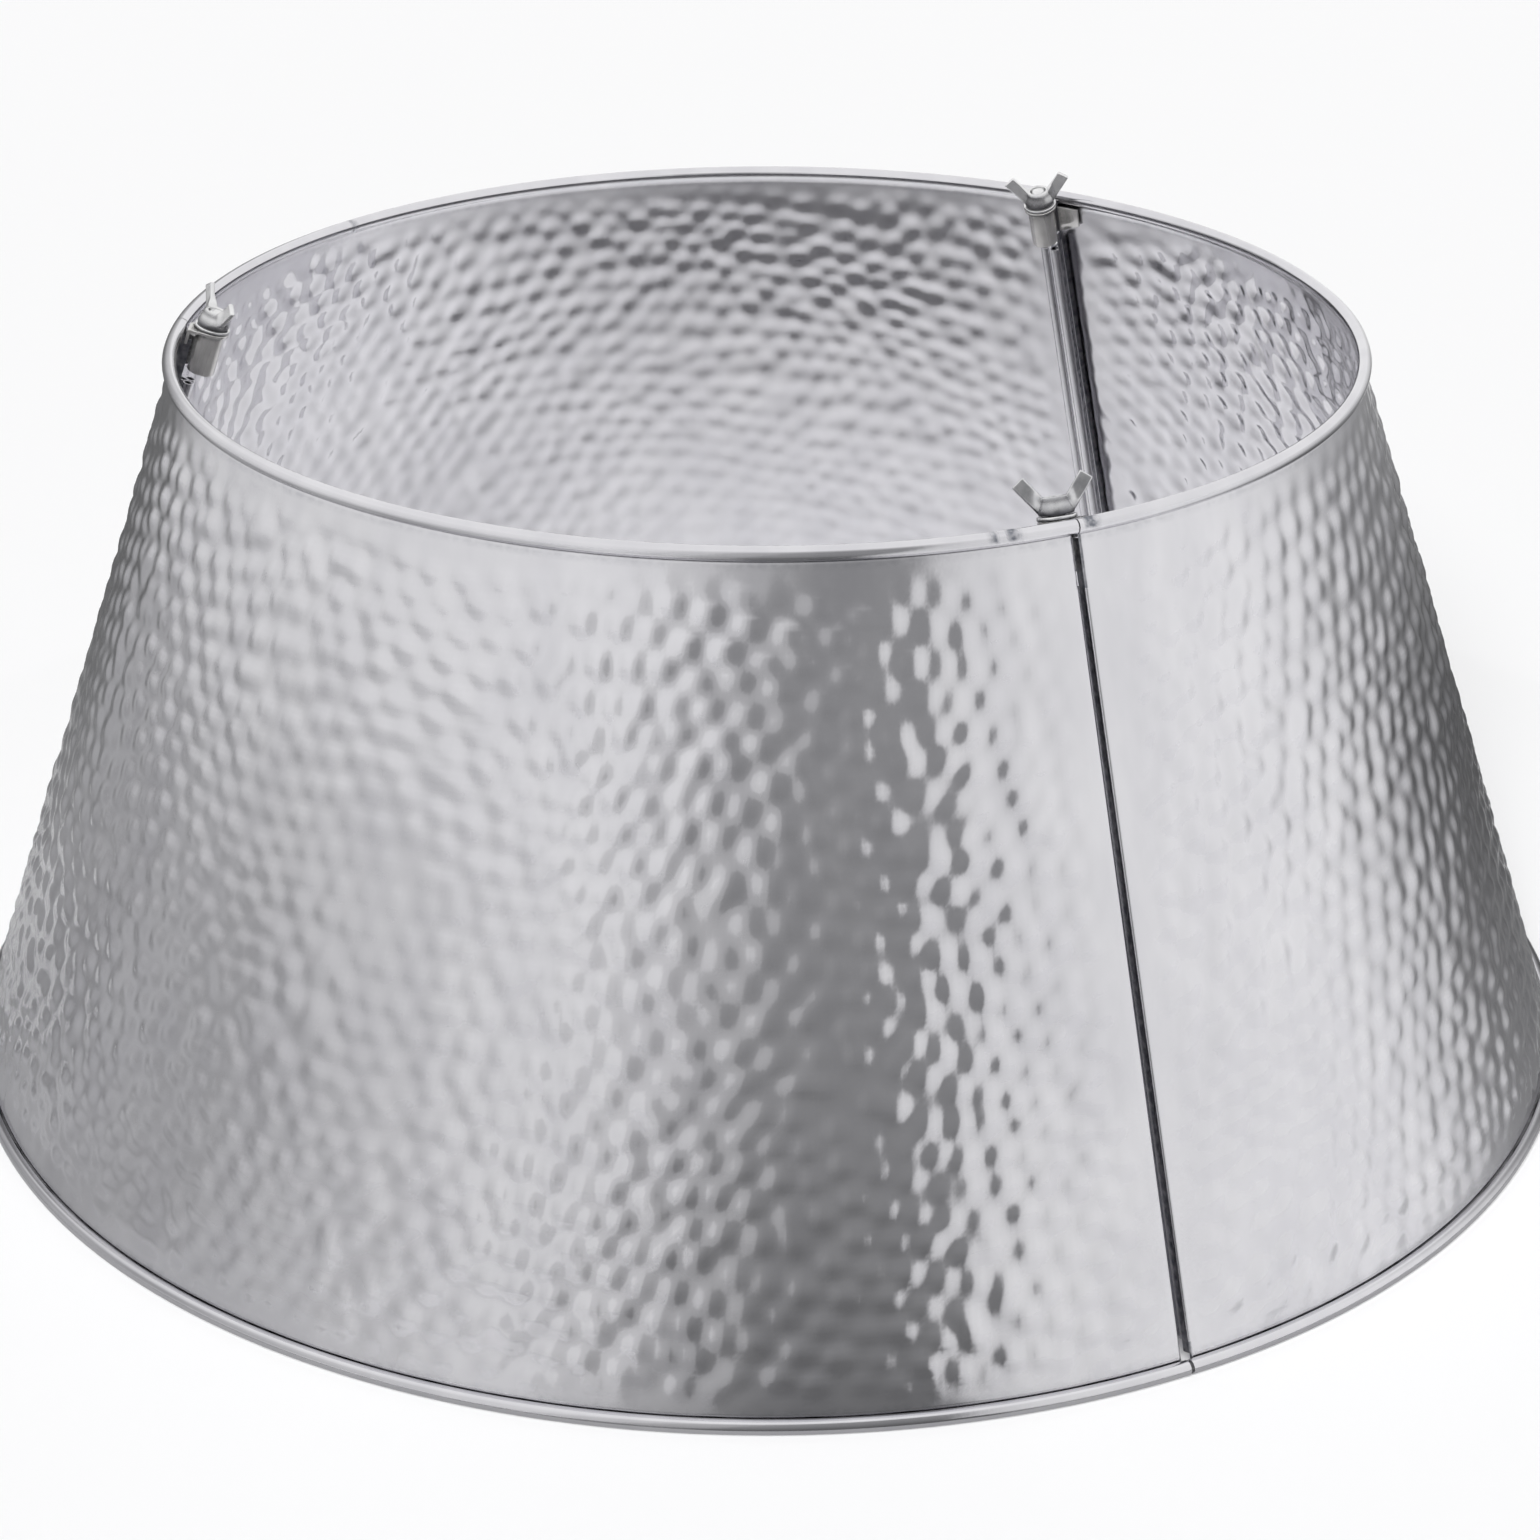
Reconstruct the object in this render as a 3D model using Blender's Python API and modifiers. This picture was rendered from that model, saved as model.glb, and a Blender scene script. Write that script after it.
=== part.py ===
"""A three-panel metal collar that hides the stand of a christmas tree.

The collar is a truncated cone of thin sheet, open at the top and at the bottom. Three equal
panels meet at three upright seams. Each panel has its top and bottom edge rolled round a wire,
and its upright edges folded inwards and curled. Under the top rim each seam is held by a screw
clamp: a sleeve on one panel, an eye on the next, a stud through both, a washer and a wing nut.

Metres, +Z up. The origin is at the centre of the floor ring, on the floor.
"""

from math import acos, asin, atan2, cos, hypot, pi, radians, sin, tan, tau

import bmesh
import bpy
from mathutils import Matrix, Vector

# Overall sizes
BOTTOM_DIAMETER = 0.660
TOP_DIAMETER = 0.468
RIM_HEIGHT = 0.288
PANELS = 3
FIRST_SEAM = radians(-60)

# Sheet, rolled beads and the wires inside them
SHEET = 0.0005
BEAD_DIAMETER = 0.0055
BEAD_OVERHANG = 0.0011
CURL_SLIT = 0.0004
WIRE_CLEARANCE = 0.0003
WIRE_RECESS = 0.0003

# Seams between the panels
SEAM_GAP = 0.0024
BEAD_GAP = 0.0005
FLANGE_DEPTH = 0.0092
SEAM_CURL_DIAMETER = 0.0034
SEAM_CURL_BULGE = 0.0007
FLANGE_FOOT_GAP = 0.004

# Fits between pieces that rest on or pass through each other
SEAT_GAP = 0.0003

# Clamp: the stud's axis and what is stacked on it
STUD_DIAMETER = 0.006
STUD_TO_WALL = 0.0102
STUD_CHAMFER = 0.0005
STUD_END_INSET = 0.0005
CLAMP_BORE = STUD_DIAMETER + 2 * SEAT_GAP
SLEEVE_DIAMETER = 0.0112
SLEEVE_LENGTH = 0.0168
SLEEVE_TOP = -0.0032
CLAMP_PLATE = 0.0012
SLEEVE_FOOT_WIDTH = 0.012
EYE_DIAMETER = 0.0140
EYE_TAB_WIDTH = 0.0080
EYE_TAB_LENGTH = 0.0060
WASHER_DIAMETER = 0.0142
WASHER_THICKNESS = 0.0012

# Wing nut
HUB_BASE_DIAMETER = 0.0126
HUB_TOP_DIAMETER = 0.0094
HUB_BASE_HEIGHT = 0.0014
HUB_HEIGHT = 0.0063
HUB_CHAMFER = 0.0006
NUT_SPAN = 0.0280
NUT_HEIGHT = 0.0140
WING_WIDTH = 0.0052
WING_THICKNESS = 0.0019
WING_ANGLE = radians(53)
WING_EDGE = 0.0005

# Facets
ARC_STEPS = 20
BEAD_STEP = radians(28)
SEAM_CURL_STEP = radians(44)
ROUND_STEPS = 24
WIRE_ARC_STEPS = 2
SMOOTH_ANGLE = radians(40)
WELD = SHEET / 100

# Each clamp's name and how far its nut has been turned from the outward direction
CLAMPS = (("front", radians(60)), ("rear", radians(120)), ("left", radians(123)))
PANEL_NAMES = ("panel_right", "panel_rear", "panel_front")
WIRE_NAMES = ("right", "rear", "front")

# Derived sizes of the cone
PANEL_ANGLE = tau / PANELS
BEAD_RADIUS = (BEAD_DIAMETER - SHEET) / 2
BEAD_FACET_RADIUS = BEAD_RADIUS * cos(BEAD_STEP / 2)
TOP_CENTRE_RADIUS = (TOP_DIAMETER - BEAD_DIAMETER) / 2
BOTTOM_CENTRE_RADIUS = (BOTTOM_DIAMETER - BEAD_DIAMETER) / 2
BOTTOM_CENTRE_HEIGHT = BEAD_FACET_RADIUS + SHEET / 2
TOP_CENTRE_HEIGHT = RIM_HEIGHT - BOTTOM_CENTRE_HEIGHT
RISE = TOP_CENTRE_HEIGHT - BOTTOM_CENTRE_HEIGHT
RUN = BOTTOM_CENTRE_RADIUS - TOP_CENTRE_RADIUS
SLANT = hypot(RISE, RUN)
TAPER = atan2(RUN, RISE)
WALL_INSET = BEAD_RADIUS - BEAD_OVERHANG

# Derived sizes of the clamp, in a frame whose Z is the stud's axis and whose X points outwards
RIM_CENTRE_X = STUD_TO_WALL + SHEET / 2 + WALL_INSET
RIM_CENTRE_Z = -RIM_CENTRE_X * tan(TAPER)
BEAD_BOTTOM_Z = RIM_CENTRE_Z - BEAD_DIAMETER / 2
BEAD_FACE_X = RIM_CENTRE_X - BEAD_DIAMETER / 2
SLEEVE_BOTTOM = SLEEVE_TOP - SLEEVE_LENGTH
EYE_BOTTOM = SLEEVE_TOP + SEAT_GAP
EYE_TOP = EYE_BOTTOM + CLAMP_PLATE
WASHER_BOTTOM = EYE_TOP + SEAT_GAP
NUT_BOTTOM = WASHER_BOTTOM + WASHER_THICKNESS + SEAT_GAP

# Angles at which the wall and the beads stop short of a seam's middle plane
WALL_END_ANGLE = asin((SEAM_GAP + SHEET) / 2 / TOP_CENTRE_RADIUS)
BEAD_END_ANGLE = asin(BEAD_GAP / 2 / TOP_CENTRE_RADIUS)
ARC_STEP = (PANEL_ANGLE - 2 * WALL_END_ANGLE) / ARC_STEPS


def clear_scene():
    """Removes every object of the scene and returns the two collections that the script fills."""
    for old in list(bpy.data.objects):
        bpy.data.objects.remove(old, do_unlink=True)
    made = []
    for name in ("christmas_tree_collar", "cutters"):
        collection = bpy.data.collections.new(name)
        bpy.context.scene.collection.children.link(collection)
        made.append(collection)
    return made


def metal(name, colour, roughness):
    """A plain metal finish."""
    material = bpy.data.materials.new(name)
    material.use_nodes = True
    shader = material.node_tree.nodes["Principled BSDF"]
    shader.inputs["Base Color"].default_value = (*colour, 1)
    shader.inputs["Metallic"].default_value = 1
    shader.inputs["Roughness"].default_value = roughness
    return material


def add_object(name, data, collection, material=None):
    """Links a mesh or curve as an object."""
    made = bpy.data.objects.new(name, data)
    collection.objects.link(made)
    if material:
        data.materials.append(material)
    return made


def mesh_of(bm, name):
    """Turns a bmesh into a smoothly shaded mesh."""
    mesh = bpy.data.meshes.new(name)
    bm.to_mesh(mesh)
    bm.free()
    mesh.shade_smooth()
    mesh.set_sharp_from_angle(angle=SMOOTH_ANGLE)
    return mesh


def settled(obj):
    """What an object's modifiers make of its mesh or curve, with doubles welded and its finish kept."""
    graph = bpy.context.evaluated_depsgraph_get()
    raw = bpy.data.meshes.new_from_object(obj.evaluated_get(graph))
    bm = bmesh.new()
    bm.from_mesh(raw)
    bpy.data.meshes.remove(raw)
    bmesh.ops.remove_doubles(bm, verts=bm.verts, dist=WELD)
    mesh = mesh_of(bm, obj.name)
    for material in obj.data.materials:
        mesh.materials.append(material)
    return mesh


def even_steps(start, stop, step):
    """Angles from start to stop, both included, at about the given step."""
    count = max(1, round((stop - start) / step))
    return [start + (stop - start) * i / count for i in range(count + 1)]


def curl(radius, overhang, slit, step, flat):
    """Section of a sheet edge rolled nearly full circle, as (sideways, along) from its centre.

    The sheet arrives from +along, on a line that lies inside the circle by the overhang. One facet
    is centred on the angle flat, and the roll stops short of the sheet by the slit.
    """
    inset = radius - overhang
    crease = acos(-inset / radius)
    end = tau + acos((SHEET + slit - inset) / radius)
    angles = even_steps(crease, flat - step / 2, step) + even_steps(flat + step / 2, end, step)
    return [(radius * cos(angle), radius * sin(angle)) for angle in angles]


def on_wall(sideways, along):
    """(radius, height) of a point given square to the line of bead centres and along it."""
    radius = BOTTOM_CENTRE_RADIUS - along * sin(TAPER) + sideways * cos(TAPER)
    height = BOTTOM_CENTRE_HEIGHT + along * cos(TAPER) + sideways * sin(TAPER)
    return radius, height


def panel_profile():
    """Upright section of a panel as (radius, height, part), from the bottom roll to the top one."""
    bottom = curl(BEAD_RADIUS, BEAD_OVERHANG, CURL_SLIT, BEAD_STEP, 3 * pi / 2 - TAPER)
    top = curl(BEAD_RADIUS, BEAD_OVERHANG, CURL_SLIT, BEAD_STEP, 3 * pi / 2 + TAPER)
    crease = bottom[0][1]
    fold_start = crease + FLANGE_FOOT_GAP
    fold_stop = SLANT + SLEEVE_BOTTOM - RIM_CENTRE_Z - SEAT_GAP - CLAMP_PLATE
    points = [(sideways, along, "bead") for sideways, along in reversed(bottom)]
    points.append((-WALL_INSET, fold_start, "fold"))
    points.append((-WALL_INSET, fold_stop, "fold"))
    points += [(sideways, SLANT - along, "bead") for sideways, along in top]
    return [(*on_wall(sideways, along), part) for sideways, along, part in points]


def flange_section():
    """Level section of a folded seam edge, as (away from the seam, inwards) from the wall's end."""
    radius = (SEAM_CURL_DIAMETER - SHEET) / 2
    inset = radius - SEAM_CURL_BULGE
    depth = FLANGE_DEPTH + SHEET / 2 - SEAM_CURL_DIAMETER / 2
    roll = curl(radius, SEAM_CURL_BULGE, CURL_SLIT, SEAM_CURL_STEP, 3 * pi / 2)
    return [(inset + sideways, depth - along) for sideways, along in roll]


def extrude(bm, edges, place):
    """Extrudes edges, moves the new points by place(point) and returns the new edges."""
    made = bmesh.ops.extrude_edge_only(bm, edges=edges)["geom"]
    fresh = {item for item in made if isinstance(item, bmesh.types.BMVert)}
    for vert in fresh:
        vert.co = place(vert.co)
    found = (item for item in made if isinstance(item, bmesh.types.BMEdge))
    return [edge for edge in found if set(edge.verts) <= fresh]


def build_panel(name, start, collection, material):
    """One panel: a section spun round the axis, with beads run on and flanges folded at its ends."""
    bm = bmesh.new()
    bead_layer = bm.verts.layers.int.new("bead")
    profile = panel_profile()
    first = start + WALL_END_ANGLE
    sweep = PANEL_ANGLE - 2 * WALL_END_ANGLE
    verts = []
    for radius, height, part in profile:
        vert = bm.verts.new((radius * cos(first), radius * sin(first), height))
        vert[bead_layer] = part == "bead"
        verts.append(vert)
    edges = [bm.edges.new(pair) for pair in zip(verts, verts[1:])]
    folds = [edge for edge in edges if not any(vert[bead_layer] for vert in edge.verts)]
    beads = [edge for edge in edges if all(vert[bead_layer] for vert in edge.verts)]
    spun = bmesh.ops.spin(
        bm, geom=verts + edges, cent=(0, 0, 0), axis=(0, 0, 1), angle=sweep, steps=ARC_STEPS
    )
    last = [item for item in spun["geom_last"] if isinstance(item, bmesh.types.BMEdge)]
    last_folds = [edge for edge in last if not any(vert[bead_layer] for vert in edge.verts)]
    last_beads = [edge for edge in last if all(vert[bead_layer] for vert in edge.verts)]
    run_on_beads(bm, beads, -1)
    run_on_beads(bm, last_beads, 1)
    fold_flange(bm, folds, start, -1)
    fold_flange(bm, last_folds, start + PANEL_ANGLE, 1)
    bmesh.ops.recalc_face_normals(bm, faces=bm.faces)
    panel = add_object(name, mesh_of(bm, name), collection, material)
    wall = panel.modifiers.new("sheet", "SOLIDIFY")
    wall.thickness = SHEET
    wall.offset = 0
    wall.use_even_offset = True
    wall.use_quality_normals = True
    return level_foot(panel)


def run_on_beads(bm, edges, side):
    """Runs the beads past the wall's end until they nearly meet the next panel's."""
    turn = Matrix.Rotation(side * (WALL_END_ANGLE - BEAD_END_ANGLE), 3, "Z")
    extrude(bm, edges, lambda point: turn @ point)


def fold_flange(bm, edges, seam, side):
    """Folds the wall's end inwards and rolls its edge, away from the seam."""
    along_ring = Vector((-sin(seam), cos(seam), 0))
    inwards = Vector((-cos(TAPER) * cos(seam), -cos(TAPER) * sin(seam), -sin(TAPER)))
    before = (0, 0)
    for step in flange_section():
        move = -side * (step[0] - before[0]) * along_ring + (step[1] - before[1]) * inwards
        edges = extrude(bm, edges, lambda point, move=move: point + move)
        before = step


def level_foot(panel):
    """Makes the sheet's thickness real and sets the lowest facet of the bottom bead exactly level."""
    mesh = settled(panel)
    for vert in mesh.vertices:
        if vert.co.z < SHEET / 4:
            vert.co.z = 0
    panel.modifiers.clear()
    panel.data = mesh
    return panel


def build_wire(name, start, centre, collection, material):
    """The stiffening wire in a bead, following the bead's own facets."""
    radius, height = centre
    recess = BEAD_END_ANGLE + asin(WIRE_RECESS / radius)
    first = start + WALL_END_ANGLE
    angles = [start + recess]
    angles += [first + ARC_STEP * i for i in range(ARC_STEPS + 1)]
    angles.append(start + PANEL_ANGLE - recess)
    curve = bpy.data.curves.new(name, "CURVE")
    curve.dimensions = "3D"
    curve.bevel_depth = BEAD_FACET_RADIUS - SHEET / 2 - WIRE_CLEARANCE
    curve.bevel_resolution = WIRE_ARC_STEPS
    curve.use_fill_caps = True
    spline = curve.splines.new("POLY")
    spline.points.add(len(angles) - 1)
    for point, angle in zip(spline.points, angles):
        point.co = (radius * cos(angle), radius * sin(angle), height, 1)
    return add_object(name, curve, collection, material)


def turned(name, profile, collection, material):
    """A body turned about Z from a closed (radius, height) outline, given clockwise from above."""
    bm = bmesh.new()
    verts = [bm.verts.new((radius, 0, height)) for radius, height in profile]
    for pair in zip(verts, verts[1:] + verts[:1]):
        bm.edges.new(pair)
    mesh = bpy.data.meshes.new(name)
    bm.to_mesh(mesh)
    bm.free()
    body = add_object(name, mesh, collection, material)
    screw = body.modifiers.new("turn", "SCREW")
    screw.steps = ROUND_STEPS
    screw.render_steps = ROUND_STEPS
    screw.use_merge_vertices = True
    screw.merge_threshold = WELD
    screw.use_smooth_shade = True
    body.data = settled(body)
    body.modifiers.clear()
    return body


def ring_profile(inner, outer, bottom, top):
    """Outline of a plain ring for turned()."""
    return [(outer, top), (outer, bottom), (inner, bottom), (inner, top)]


def flat_outline(name, loops, thickness, collection, material=None):
    """A plate in the XY plane, centred on it, from closed outlines; an inner one is a hole."""
    curve = bpy.data.curves.new(name, "CURVE")
    curve.dimensions = "2D"
    curve.fill_mode = "BOTH"
    curve.extrude = thickness / 2
    for loop in loops:
        spline = curve.splines.new("POLY")
        spline.points.add(len(loop) - 1)
        for point, (x, y) in zip(spline.points, loop):
            point.co = (x, y, 0, 1)
        spline.use_cyclic_u = True
    plate = add_object(name, curve, collection)
    mesh = settled(plate)
    bpy.data.objects.remove(plate, do_unlink=True)
    return add_object(name, mesh, collection, material)


def circle(radius, start=0, sweep=tau):
    """Points of an arc about the origin, without the last one where it is a full circle."""
    count = max(3, round(ROUND_STEPS * sweep / tau))
    last = count if sweep >= tau else count + 1
    return [
        (radius * cos(start + sweep * i / count), radius * sin(start + sweep * i / count))
        for i in range(last)
    ]


def joined(body, others):
    """Joins helper bodies to a body and removes the helpers."""
    for other in others:
        union = body.modifiers.new(other.name, "BOOLEAN")
        union.operation = "UNION"
        union.object = other
        other.hide_render = True
        other.display_type = "WIRE"
    body.data = settled(body)
    body.modifiers.clear()
    for other in others:
        bpy.data.objects.remove(other, do_unlink=True)
    return body


def lifted(body, height):
    """Moves a body's mesh up along Z."""
    body.data.transform(Matrix.Translation((0, 0, height)))
    return body


def facet_drop(distance):
    """How far the first facet beside a seam has come inwards at a distance along it."""
    return distance * tan(WALL_END_ANGLE + ARC_STEP / 2)


def build_sleeve(name, collection, cutters, material):
    """The sleeve on its bent plate, whose foot lies on the wall of the panel before the seam."""
    tube = turned(
        name,
        ring_profile(CLAMP_BORE / 2, SLEEVE_DIAMETER / 2, SLEEVE_BOTTOM, SLEEVE_TOP),
        collection,
        material,
    )
    web = -SEAM_GAP / 2
    face = STUD_TO_WALL - SEAT_GAP
    root = (CLAMP_BORE + SLEEVE_DIAMETER) / 4
    far = web - SLEEVE_FOOT_WIDTH
    near_drop = facet_drop(-web)
    far_drop = facet_drop(-far)
    outline = [
        (root, web),
        (root, web - CLAMP_PLATE),
        (face - near_drop - CLAMP_PLATE, web - CLAMP_PLATE),
        (face - far_drop - CLAMP_PLATE, far),
        (face - far_drop, far),
        (face - near_drop, web),
    ]
    top = BEAD_BOTTOM_Z - SEAT_GAP
    bottom = SLEEVE_BOTTOM + SEAT_GAP
    plate = flat_outline("sleeve_plate", [outline], top - bottom, cutters)
    return joined(tube, [lifted(plate, (top + bottom) / 2)])


def build_eye(name, collection, cutters, material):
    """The flat eye with the tab that is turned down against the bead of the panel after the seam."""
    near = BEAD_GAP / 2 + SEAT_GAP
    far = near + EYE_TAB_WIDTH
    face = BEAD_FACE_X - SEAT_GAP
    near_x = face - facet_drop(near)
    far_x = face - facet_drop(far)
    radius = EYE_DIAMETER / 2
    start = atan2(far, far_x) + acos(radius / hypot(far, far_x))
    stop = tau + atan2(near, near_x) - acos(radius / hypot(near, near_x))
    outline = circle(radius, start, stop - start) + [(near_x, near), (far_x, far)]
    hole = circle(CLAMP_BORE / 2)
    eye = flat_outline(name, [outline, hole], CLAMP_PLATE, collection, material)
    lifted(eye, (EYE_TOP + EYE_BOTTOM) / 2)
    tab_outline = [
        (near_x, near),
        (far_x, far),
        (far_x - CLAMP_PLATE, far),
        (near_x - CLAMP_PLATE, near),
    ]
    tab_top = EYE_TOP - CLAMP_PLATE / 4
    tab = flat_outline("eye_tab", [tab_outline], EYE_TAB_LENGTH, cutters)
    return joined(eye, [lifted(tab, tab_top - EYE_TAB_LENGTH / 2)])


def build_stud(name, collection, material):
    """The stud, chamfered at both ends."""
    radius = STUD_DIAMETER / 2
    bottom = SLEEVE_BOTTOM + STUD_END_INSET
    top = NUT_BOTTOM + HUB_HEIGHT - STUD_END_INSET
    bm = bmesh.new()
    bmesh.ops.create_cone(
        bm,
        cap_ends=True,
        segments=ROUND_STEPS,
        radius1=radius,
        radius2=radius,
        depth=top - bottom,
        matrix=Matrix.Translation((0, 0, (top + bottom) / 2)),
    )
    ends = [edge for edge in bm.edges if any(len(face.verts) > 4 for face in edge.link_faces)]
    bmesh.ops.bevel(bm, geom=ends, offset=STUD_CHAMFER, segments=1, affect="EDGES")
    return add_object(name, mesh_of(bm, name), collection, material)


def build_washer(name, collection, material):
    """The flat washer, in a frame that has its underside at zero."""
    profile = ring_profile(CLAMP_BORE / 2, WASHER_DIAMETER / 2, 0, WASHER_THICKNESS)
    return turned(name, profile, collection, material)


def wing_outline():
    """One wing seen from the side, as (outwards, up) from the middle of the hub's underside."""
    lean = Vector((cos(WING_ANGLE), sin(WING_ANGLE)))
    across = Vector((sin(WING_ANGLE), -cos(WING_ANGLE)))
    tip_low = Vector((NUT_SPAN / 2, NUT_HEIGHT - WING_WIDTH * cos(WING_ANGLE)))
    tip_high = tip_low - WING_WIDTH * across
    root_x = (CLAMP_BORE / 2 + HUB_TOP_DIAMETER / 2) / 2
    root_high = tip_high + lean * ((root_x - tip_high.x) / lean.x)
    belly_x = HUB_BASE_DIAMETER / 2
    belly = tip_low + lean * ((belly_x - tip_low.x) / lean.x)
    belly.y = max(belly.y, HUB_CHAMFER)
    root_low = Vector((root_x, HUB_BASE_HEIGHT / 2))
    return [root_low, (belly_x - HUB_CHAMFER, root_low.y), belly, tip_low, tip_high, root_high]


def build_nut(name, collection, cutters, material):
    """The wing nut, in a frame that has its underside at zero and its wings along X."""
    bore = CLAMP_BORE / 2
    base = HUB_BASE_DIAMETER / 2
    top = HUB_TOP_DIAMETER / 2
    profile = [
        (bore, HUB_HEIGHT),
        (top - HUB_CHAMFER, HUB_HEIGHT),
        (top, HUB_HEIGHT - HUB_CHAMFER),
        (base, HUB_BASE_HEIGHT),
        (base, HUB_CHAMFER / 2),
        (base - HUB_CHAMFER / 2, 0),
        (bore, 0),
    ]
    hub = turned(name, profile, collection, material)
    wings = []
    for side, turn in (("near", 0), ("far", pi)):
        wing = flat_outline(f"wing_{side}", [wing_outline()], WING_THICKNESS, cutters)
        bm = bmesh.new()
        bm.from_mesh(wing.data)
        sharp = [edge for edge in bm.edges if edge.calc_face_angle(0) > SMOOTH_ANGLE]
        bmesh.ops.bevel(bm, geom=sharp, offset=WING_EDGE, segments=1, affect="EDGES")
        bm.to_mesh(wing.data)
        bm.free()
        wing.data.transform(Matrix.Rotation(turn, 4, "Z") @ Matrix.Rotation(pi / 2, 4, "X"))
        wings.append(wing)
    return joined(hub, wings)


def clamp_frame(name, seam, collection):
    """An empty on the stud's axis at the rim's height: Z up the stud, X outwards."""
    frame = bpy.data.objects.new(name, None)
    collection.objects.link(frame)
    radius = TOP_CENTRE_RADIUS - RIM_CENTRE_X / cos(TAPER)
    frame.location = (radius * cos(seam), radius * sin(seam), TOP_CENTRE_HEIGHT)
    frame.rotation_euler = (0, -TAPER, seam)
    return frame


def build_clamp(name, seam, nut_turn, collection, cutters, finishes):
    """The five pieces of one clamp, placed in its frame."""
    frame = clamp_frame(f"clamp_frame_{name}", seam, collection)
    sleeve = build_sleeve(f"clamp_sleeve_{name}", collection, cutters, finishes["plate"])
    eye = build_eye(f"clamp_eye_{name}", collection, cutters, finishes["plate"])
    stud = build_stud(f"clamp_stud_{name}", collection, finishes["screw"])
    washer = build_washer(f"washer_{name}", collection, finishes["screw"])
    washer.location.z = WASHER_BOTTOM
    nut = build_nut(f"wing_nut_{name}", collection, cutters, finishes["screw"])
    nut.location.z = NUT_BOTTOM
    nut.rotation_euler.z = nut_turn
    for piece in (sleeve, eye, stud, washer, nut):
        piece.parent = frame


def main():
    """Builds the collar, panel by panel and clamp by clamp."""
    collar, cutters = clear_scene()
    sheet = metal("hammered_sheet", (0.66, 0.67, 0.69), 0.35)
    wire = metal("rim_wire", (0.50, 0.50, 0.51), 0.45)
    finishes = {
        "plate": metal("clamp_plate", (0.58, 0.59, 0.60), 0.30),
        "screw": metal("bright_zinc", (0.72, 0.73, 0.75), 0.22),
    }
    top = (TOP_CENTRE_RADIUS, TOP_CENTRE_HEIGHT)
    bottom = (BOTTOM_CENTRE_RADIUS, BOTTOM_CENTRE_HEIGHT)
    for number in range(PANELS):
        start = FIRST_SEAM + PANEL_ANGLE * number
        build_panel(PANEL_NAMES[number], start, collar, sheet)
        build_wire(f"top_wire_{WIRE_NAMES[number]}", start, top, collar, wire)
        build_wire(f"bottom_wire_{WIRE_NAMES[number]}", start, bottom, collar, wire)
        name, nut_turn = CLAMPS[number]
        build_clamp(name, start, nut_turn, collar, cutters, finishes)


main()
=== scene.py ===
"""Dressed model of a three-panel hammered metal collar that hides the stand of a christmas tree.

Three hammered sheet panels stand as a truncated cone. Their edges are rolled round wires at the
top and the bottom and folded and curled at the seams, where screw clamps hold them together.
Metres, +Z up, origin on the floor at the collar's centre.
"""

import logging
from dataclasses import dataclass
from enum import Enum, IntEnum
from math import acos, asin, atan2, cos, hypot, pi, radians, sin, sqrt, tau

import bmesh
import bpy
import numpy as np
from bpy.types import Material, Mesh, Node, NodeSocket, Object, World
from mathutils import Matrix, Vector


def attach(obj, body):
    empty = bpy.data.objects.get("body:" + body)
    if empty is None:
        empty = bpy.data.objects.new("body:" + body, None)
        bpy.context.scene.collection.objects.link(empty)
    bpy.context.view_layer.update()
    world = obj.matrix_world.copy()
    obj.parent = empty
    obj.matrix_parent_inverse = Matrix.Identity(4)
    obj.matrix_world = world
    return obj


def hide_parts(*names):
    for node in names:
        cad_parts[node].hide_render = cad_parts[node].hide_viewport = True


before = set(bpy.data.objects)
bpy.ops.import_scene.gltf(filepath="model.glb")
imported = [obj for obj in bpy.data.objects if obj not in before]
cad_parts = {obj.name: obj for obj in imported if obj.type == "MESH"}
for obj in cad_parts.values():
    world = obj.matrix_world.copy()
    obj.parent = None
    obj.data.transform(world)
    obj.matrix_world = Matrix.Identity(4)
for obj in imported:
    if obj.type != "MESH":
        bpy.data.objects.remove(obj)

Array = np.ndarray
LOG = logging.getLogger("collar")
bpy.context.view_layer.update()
WELD = 1e-6  # Points of a closed shell that are nearer than this become one.
FULL_RANGE = (0.0, 1.0)
NOISE_RANGE = (0.3, 0.7)  # Where nearly all values of a noise lie.


class Seam(Enum):
    """The three seams: the angle of each one and how far its wing nut has been turned."""

    FRONT = ("front", radians(-60), radians(60))
    REAR = ("rear", radians(60), radians(120))
    LEFT = ("left", radians(180), radians(123))

    def __init__(self, label: str, angle: float, nut_turn: float) -> None:
        """Keeps the seam's label, its angle round the axis and its nut's turn."""
        self.label = label
        self.angle = angle
        self.nut_turn = nut_turn


class Coupling(Enum):
    """How a surface grid is closed: not at all, round its columns, or round both ways."""

    OPEN = (False, False)
    ROUND = (False, True)
    RING = (True, True)


class Zone(IntEnum):
    """What a row of a panel's upright section belongs to."""

    BOTTOM_BEAD = 0
    WALL = 1
    TOP_BEAD = 2


# ---- Surfaces ----


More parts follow.
